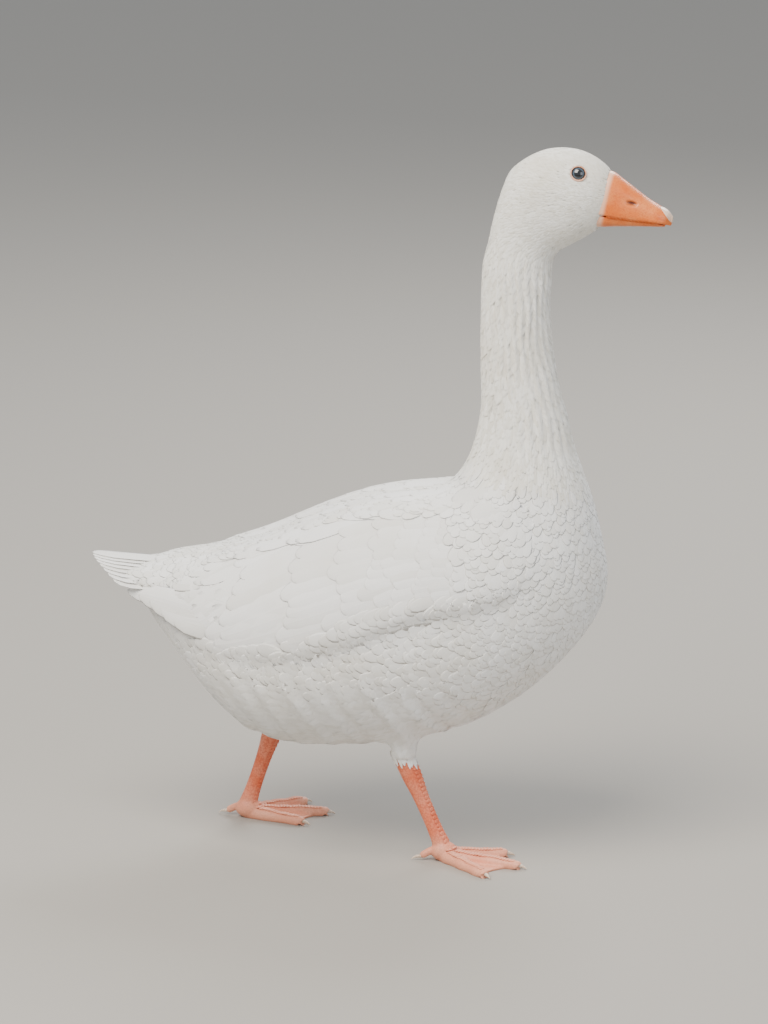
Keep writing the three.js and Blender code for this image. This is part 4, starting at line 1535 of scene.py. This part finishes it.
def nail_shell():
    """The nail: a shield of pale horn laid over the bill's tip and hooked down in front."""
    profile = through(BILL_UPPER_ROWS)
    last = BILL_UPPER_ROWS[-1][0]
    bulge = NAIL_LIFT * np.sin(np.linspace(0, math.pi, 33)) ** 0.4
    rings = []
    for share in np.linspace(0, 1, 40):
        s = NAIL_REAR + (NAIL_FRONT - NAIL_REAR) * quarter_wave(share)
        top, bottom, wide = profile(min(s, last))
        edge = bottom + (top - bottom) * UPPER_EDGE
        close = 1 if s < last else math.sqrt(max(1 - ((s - last) / 1.2) ** 2, 0.02))
        spread = math.radians(12 + 62 * quarter_wave(share * 1.25))
        angles = math.pi / 2 + np.linspace(-spread, spread, 33)
        c, up = np.cos(angles), np.sin(angles)
        sheets = []
        for extra in (bulge * quarter_wave(share * 6), -NAIL_DEPTH):
            u = (wide * close + extra) * np.sign(c) * np.abs(c) ** (2 / BILL_POWER)
            v = ((top - edge) * close + extra) * np.abs(up) ** (2 / BILL_POWER)
            sheets.append(on_head(s, 0, edge) + u[:, None] * Y_AXIS + v[:, None] * HEAD_UP)
        rings.append(np.vstack([sheets[0], sheets[1][::-1]]))
    return loft(rings)


head_part("bill_nail_horn", nail_shell(), NAIL_HORN, "horn", ["bill_nail"])

# ------------------------------------------------------------------ eyes
eye_material, eye_tree, eye_shader = new_material(
    "eye_cornea", Roughness=0.06, Coat_Weight=1.0, Coat_Roughness=0.02, Specular_IOR_Level=0.6
)
polar = add_node(eye_tree, "ShaderNodeAttribute", attribute_name="polar").outputs["Fac"]
rings_of_iris = add_node(eye_tree, "ShaderNodeValToRGB", {"Fac": polar})
ramp = rings_of_iris.color_ramp
# Pupil, iris and the dark globe behind it, by angle from the eye's axis over half a turn.
IRIS_STOPS = [(0, "#050607"), (0.125, "#07090B"), (0.14, "#26323C"), (0.175, "#475866"), (0.2, "#1B242B")]
IRIS_STOPS += [(0.225, "#0B0D10"), (1, "#0B0D10")]
CORNEA_BULGE, CORNEA_ANGLE = 0.45, 0.62  # millimetres and radians
while len(ramp.elements) < len(IRIS_STOPS):
    ramp.elements.new(1)
for element, (stop, tone) in zip(ramp.elements, IRIS_STOPS):
    element.position = stop
    element.color = colour(tone)
eye_tree.links.new(rings_of_iris.outputs["Color"], eye_shader.inputs["Base Color"])

def eye_piece(side, sign, points=64):
    """An eyeball with its cornea standing out in front."""
    centre, outward, level, upward = eye_frame(sign)
    angles = np.linspace(math.radians(2), math.radians(178), 60)
    rings = []
    for angle in angles:
        radius = EYE_RADIUS + CORNEA_BULGE * math.exp(-((angle / CORNEA_ANGLE) ** 4))
        middle = centre + outward * radius * math.cos(angle)
        spread = radius * math.sin(angle)
        rings.append(section(middle, level, upward, spread, spread, spread, points))
    mesh = make_mesh(f"eye_{side}_globe", *loft(rings))
    keep_shade(mesh, "polar", np.repeat(angles / math.pi, points))
    finish_piece(f"eye_{side}_globe", mesh, eye_material, [f"eye_{side}"])


for side, sign in SIDES.items():
    eye_piece(side, sign)


# ------------------------------------------------------------------ wings
def wing_spot(u, v):
    """Side-view X and Z on the wing: u from shoulder to tip, v from lower to upper edge."""
    x = WING_SHOULDER[0] + u * (WING_TIP[0] - WING_SHOULDER[0])
    low, high = wing_edges(x)
    return x, low + v * (high - low)


def wing_way(points, normals):
    """Feathers run back along the wing, and close up towards its tip."""
    x = np.clip(points[:, 0], WING_TIP[0] + 12, WING_SHOULDER[0] - 2)
    low, high = wing_edges(x)
    v = np.clip((points[:, 2] - low) / np.maximum(high - low, 6), 0.03, 0.97)
    low_next, high_next = wing_edges(x - 4)
    rise = (low_next + v * (high_next - low_next)) - (low + v * (high - low))
    heading = np.stack([np.full(len(x), -4.0), np.zeros(len(x)), rise - 0.35], axis=1)
    return along_surface(unit(heading), normals)


# Courses of wing feathers: root u at the lower and upper ends, v range, count, length, width, root depth.
COURSES = [
    (0.03, 0.015, 0.05, 0.98, 13, 40, 19, 0.74),
    (0.07, 0.055, 0.03, 0.98, 15, 42, 20, 0.81),
    (0.11, 0.095, 0.02, 0.98, 17, 43, 20, 0.81),
    (0.15, 0.135, 0.02, 0.98, 18, 44, 20, 0.87),
    (0.19, 0.175, 0.02, 0.98, 18, 45, 20, 0.87),
    (0.235, 0.22, 0.02, 0.98, 18, 50, 21, 0.93),
    (0.285, 0.265, 0.01, 0.97, 17, 56, 23, 0.93),
    (0.34, 0.315, 0.01, 0.97, 16, 66, 24, 0.99),
    (0.41, 0.37, 0.01, 0.97, 15, 88, 26, 1.1),
    (0.50, 0.42, 0.02, 0.96, 13, 132, 28, 1.1),
    (0.58, 0.47, 0.04, 0.97, 11, 168, 30, 1.1),
    (0.66, 0.56, 0.30, 0.98, 8, 150, 30, 1.1),
]
WING_LEAD = 0.04  # the shaft lies this share of the width off the middle
PRIMARY_WIDTHS = (21, 24, 26, 27, 26)  # from the highest and longest feather down
PRIMARY_START, PRIMARY_STEP = -92, 11.5  # X of the roots, and how far each tip stops short of the one above
BACK_TOP = 349  # the back's highest point


def cast_to_wing(x, z, sign):
    """Places on the wing's surface, seen from its side."""
    found = []
    for px, pz in zip(x, z):
        hit = hull_tree.ray_cast(Vector((px, sign * 400, pz)), Vector((0, -sign, 0)))[0]
        if hit is None:
            hit = hull_tree.find_nearest(Vector((px, sign * 60, pz)))[0]
        found.append(hit)
    return np.array(found)


def wing_feathers(sign):
    """Roots of one wing's feathers, and each one's length, width and root depth."""
    roots, sizes = [], []
    for u_low, u_high, v_low, v_high, count, length, width, depth in COURSES:
        share = (np.arange(count) + 0.5) / count
        v = v_low + (v_high - v_low) * share + random.normal(0, 0.008, count)
        u = u_low + (u_high - u_low) * share + random.normal(0, 0.009, count)
        x, z = wing_spot(u, v)
        roots.append(cast_to_wing(x, z, sign))
        long = length * random.normal(1, 0.06, count)
        reach = (x - WING_TIP[0]) + 4 + 12 * (v - 0.5)  # no tip passes the wing's own tip
        long = np.minimum(long, np.maximum(reach, 30))
        sizes.append(np.stack([long, np.full(count, width), np.full(count, depth)], axis=1))
    return np.vstack(roots), np.vstack(sizes)


# Shoulder feathers over the wing's inner edge: X, distance from the middle and length.
SHOULDER_SPOTS = [
    (x + 6 * row, out, 46 + 0.28 * (120 - x))
    for row, out in enumerate((12, 26, 41, 57))
    for x in range(124, -52, -17)
]


def shoulder_feathers(sign):
    """Roots and lengths of one shoulder's feathers."""
    places, lengths = [], []
    for x, out, length in SHOULDER_SPOTS:
        x, out = x + random.normal(0, 3), out + random.normal(0, 2)
        top = hull_tree.ray_cast(Vector((x, sign * out, 500)), Vector((0, 0, -1)))[0]
        if top.z > BACK_TOP:
            continue  # on the neck
        places.append(top)
        lengths.append(min(length, x + 205) * random.normal(1, 0.05))
    return np.array(places), np.array(lengths)


def shoulder_way(points, normals):
    """Shoulder feathers run back and a little outward."""
    side = np.sign(points[:, 1])
    return along_surface(np.stack([np.full(len(side), -1.0), side * 0.10, 0 * side], axis=1), normals)


def primary_paths(sign):
    """Centre lines of five flight-feather tips, stacked like a shut fan below the wing's tip."""
    profile = through(PRIMARY_ROWS)
    front, rear = PRIMARY_ROWS[0][0], PRIMARY_ROWS[-1][0]
    last = len(PRIMARY_WIDTHS) - 1
    path, facing = [], []
    for i in range(last + 1):
        tip = rear + PRIMARY_STEP * i
        x = PRIMARY_START + (tip - PRIMARY_START) * LONG_TIP[:, 0]
        out, z, high, thick = profile(within(x, PRIMARY_ROWS)).T
        out = out + np.maximum(x - front, 0) * 0.25
        spread = (0.5 - i / last) * 1.5
        z = z + spread * high * 0.5
        lean = smoothstep(-x, 105, 165)  # towards their tips they lean over the rump
        outward = out + thick * 0.5 - 0.9 * (last - i) + 0.5 - 4.5 * lean
        path.append(np.stack([x, sign * outward, z], axis=1))
        facing.append(np.stack([0 * x - 0.25, 0 * x + sign, 0.5 * lean - 0.12], axis=1))
    return np.array(path), unit(np.array(facing))


def wing_coats(side, sign):
    """A folded wing's coverts and long feathers, its shoulder feathers and its primaries."""
    lead = 0.5 + sign * WING_LEAD
    places, sizes = wing_feathers(sign)
    lay_coat(
        f"coat_wing_{side}",
        FLIGHT_FEATHER,
        LONG_TIP,
        hull_tree,
        places,
        sizes[:, 0],
        way=wing_way,
        width=sizes[:, 1],
        thick=0.5,
        sink=sizes[:, 2] * 1.5,
        camber=0.05,
        tint=tints(len(places)),
        lead=lead,
        replaces=[f"wing_{side}"],
    )
    places, lengths = shoulder_feathers(sign)
    lay_coat(
        f"coat_shoulder_{side}",
        FLIGHT_FEATHER,
        SOFT_TIP,
        hull_tree,
        places,
        lengths,
        way=shoulder_way,
        sway=random.normal(0, 0.07, len(places)),
        width=24,
        thick=0.4,
        sink=2.0,
        camber=0.05,
        tint=tints(len(places)),
        lift=0.9,
    )
    path, facing = primary_paths(sign)
    feather_coat(
        f"primaries_{side}",
        FLIGHT_FEATHER,
        LONG_TIP,
        path,
        facing,
        width=PRIMARY_WIDTHS,
        thick=0.9,
        sink=2.0,
        camber=0.1,
        tint=random.random(len(path)),
        lead=lead,
        replaces=[f"wing_{side}_primaries"],
    )


for side, sign in SIDES.items():
    wing_coats(side, sign)


# ------------------------------------------------------------------ tail
TAIL_FEATHERS = 16
TAIL_START = -140  # X of the roots


def tail_paths():
    """Centre lines of the tail's fan. Each feather lies under its inner neighbour."""
    fan = np.linspace(-1, 1, TAIL_FEATHERS)
    tips = TAIL_TIP + 27 * np.abs(fan) ** 1.7
    x = TAIL_START + (tips[:, None] - TAIL_START) * LONG_TIP[:, 0]
    z, wide, thick, droop = np.moveaxis(through(TAIL_ROWS)(within(x, TAIL_ROWS)), -1, 0)
    y = fan[:, None] * (22 + (wide.max() - 28) * smoothstep(-x, 150, 225))
    under = 1 - 2 * np.abs(fan + 0.05)[:, None]
    z = z - droop * fan[:, None] ** 2 + under * 0.85 * np.maximum(thick, 2.8)
    path = np.stack([x, y, z], axis=2)
    facing = unit(np.stack([0 * fan, fan * 0.35, 1 + 0 * fan], axis=1))
    return path, np.broadcast_to(facing[:, None], path.shape)


path, facing = tail_paths()
feather_coat(
    "coat_tail",
    FLIGHT_FEATHER,
    LONG_TIP,
    path,
    facing,
    width=21,
    thick=0.9,
    sink=1.5,
    camber=0.015,
    tint=random.random(TAIL_FEATHERS),
    replaces=["tail"],
)

# ------------------------------------------------------------------ floor and light
FLOOR_HALF = 30  # metres
floor_mesh = bpy.data.meshes.new("floor")
corners = [(x * FLOOR_HALF, y * FLOOR_HALF, 0) for x, y in ((-1, -1), (1, -1), (1, 1), (-1, 1))]
floor_mesh.from_pydata(corners, [], [(0, 1, 2, 3)])
floor = make_object("floor", floor_mesh)
# Matt studio floor in pale warm grey.
floor_paint, _, _ = new_material("floor_paint", Base_Color=colour("#A29D95"), Roughness=0.9)
floor_mesh.materials.append(floor_paint)

world = bpy.data.worlds.new("studio")
bpy.context.scene.world = world
world.use_nodes = True
sky = world.node_tree.nodes["Background"]
sky.inputs["Color"].default_value = colour("#DCE3EC")
sky.inputs["Strength"].default_value = 0.85

# Soft lights: name, place, size in metres, power in watts and colour.
LIGHTS = [
    ("key", (-0.7, -1.5, 2.6), 2.0, 150, "#FFF8EE"),
    ("fill", (2.2, -1.5, 1.2), 1.6, 20, "#EEF3FF"),
    ("rim", (0.4, 2.0, 1.9), 1.2, 50, "#FFFFFF"),
]
for name, place, size, power, tone in LIGHTS:
    light = bpy.data.lights.new(name, "AREA")
    light.size = size
    light.energy = power
    light.color = colour(tone)[:3]
    aimed(name, light, Vector(place))
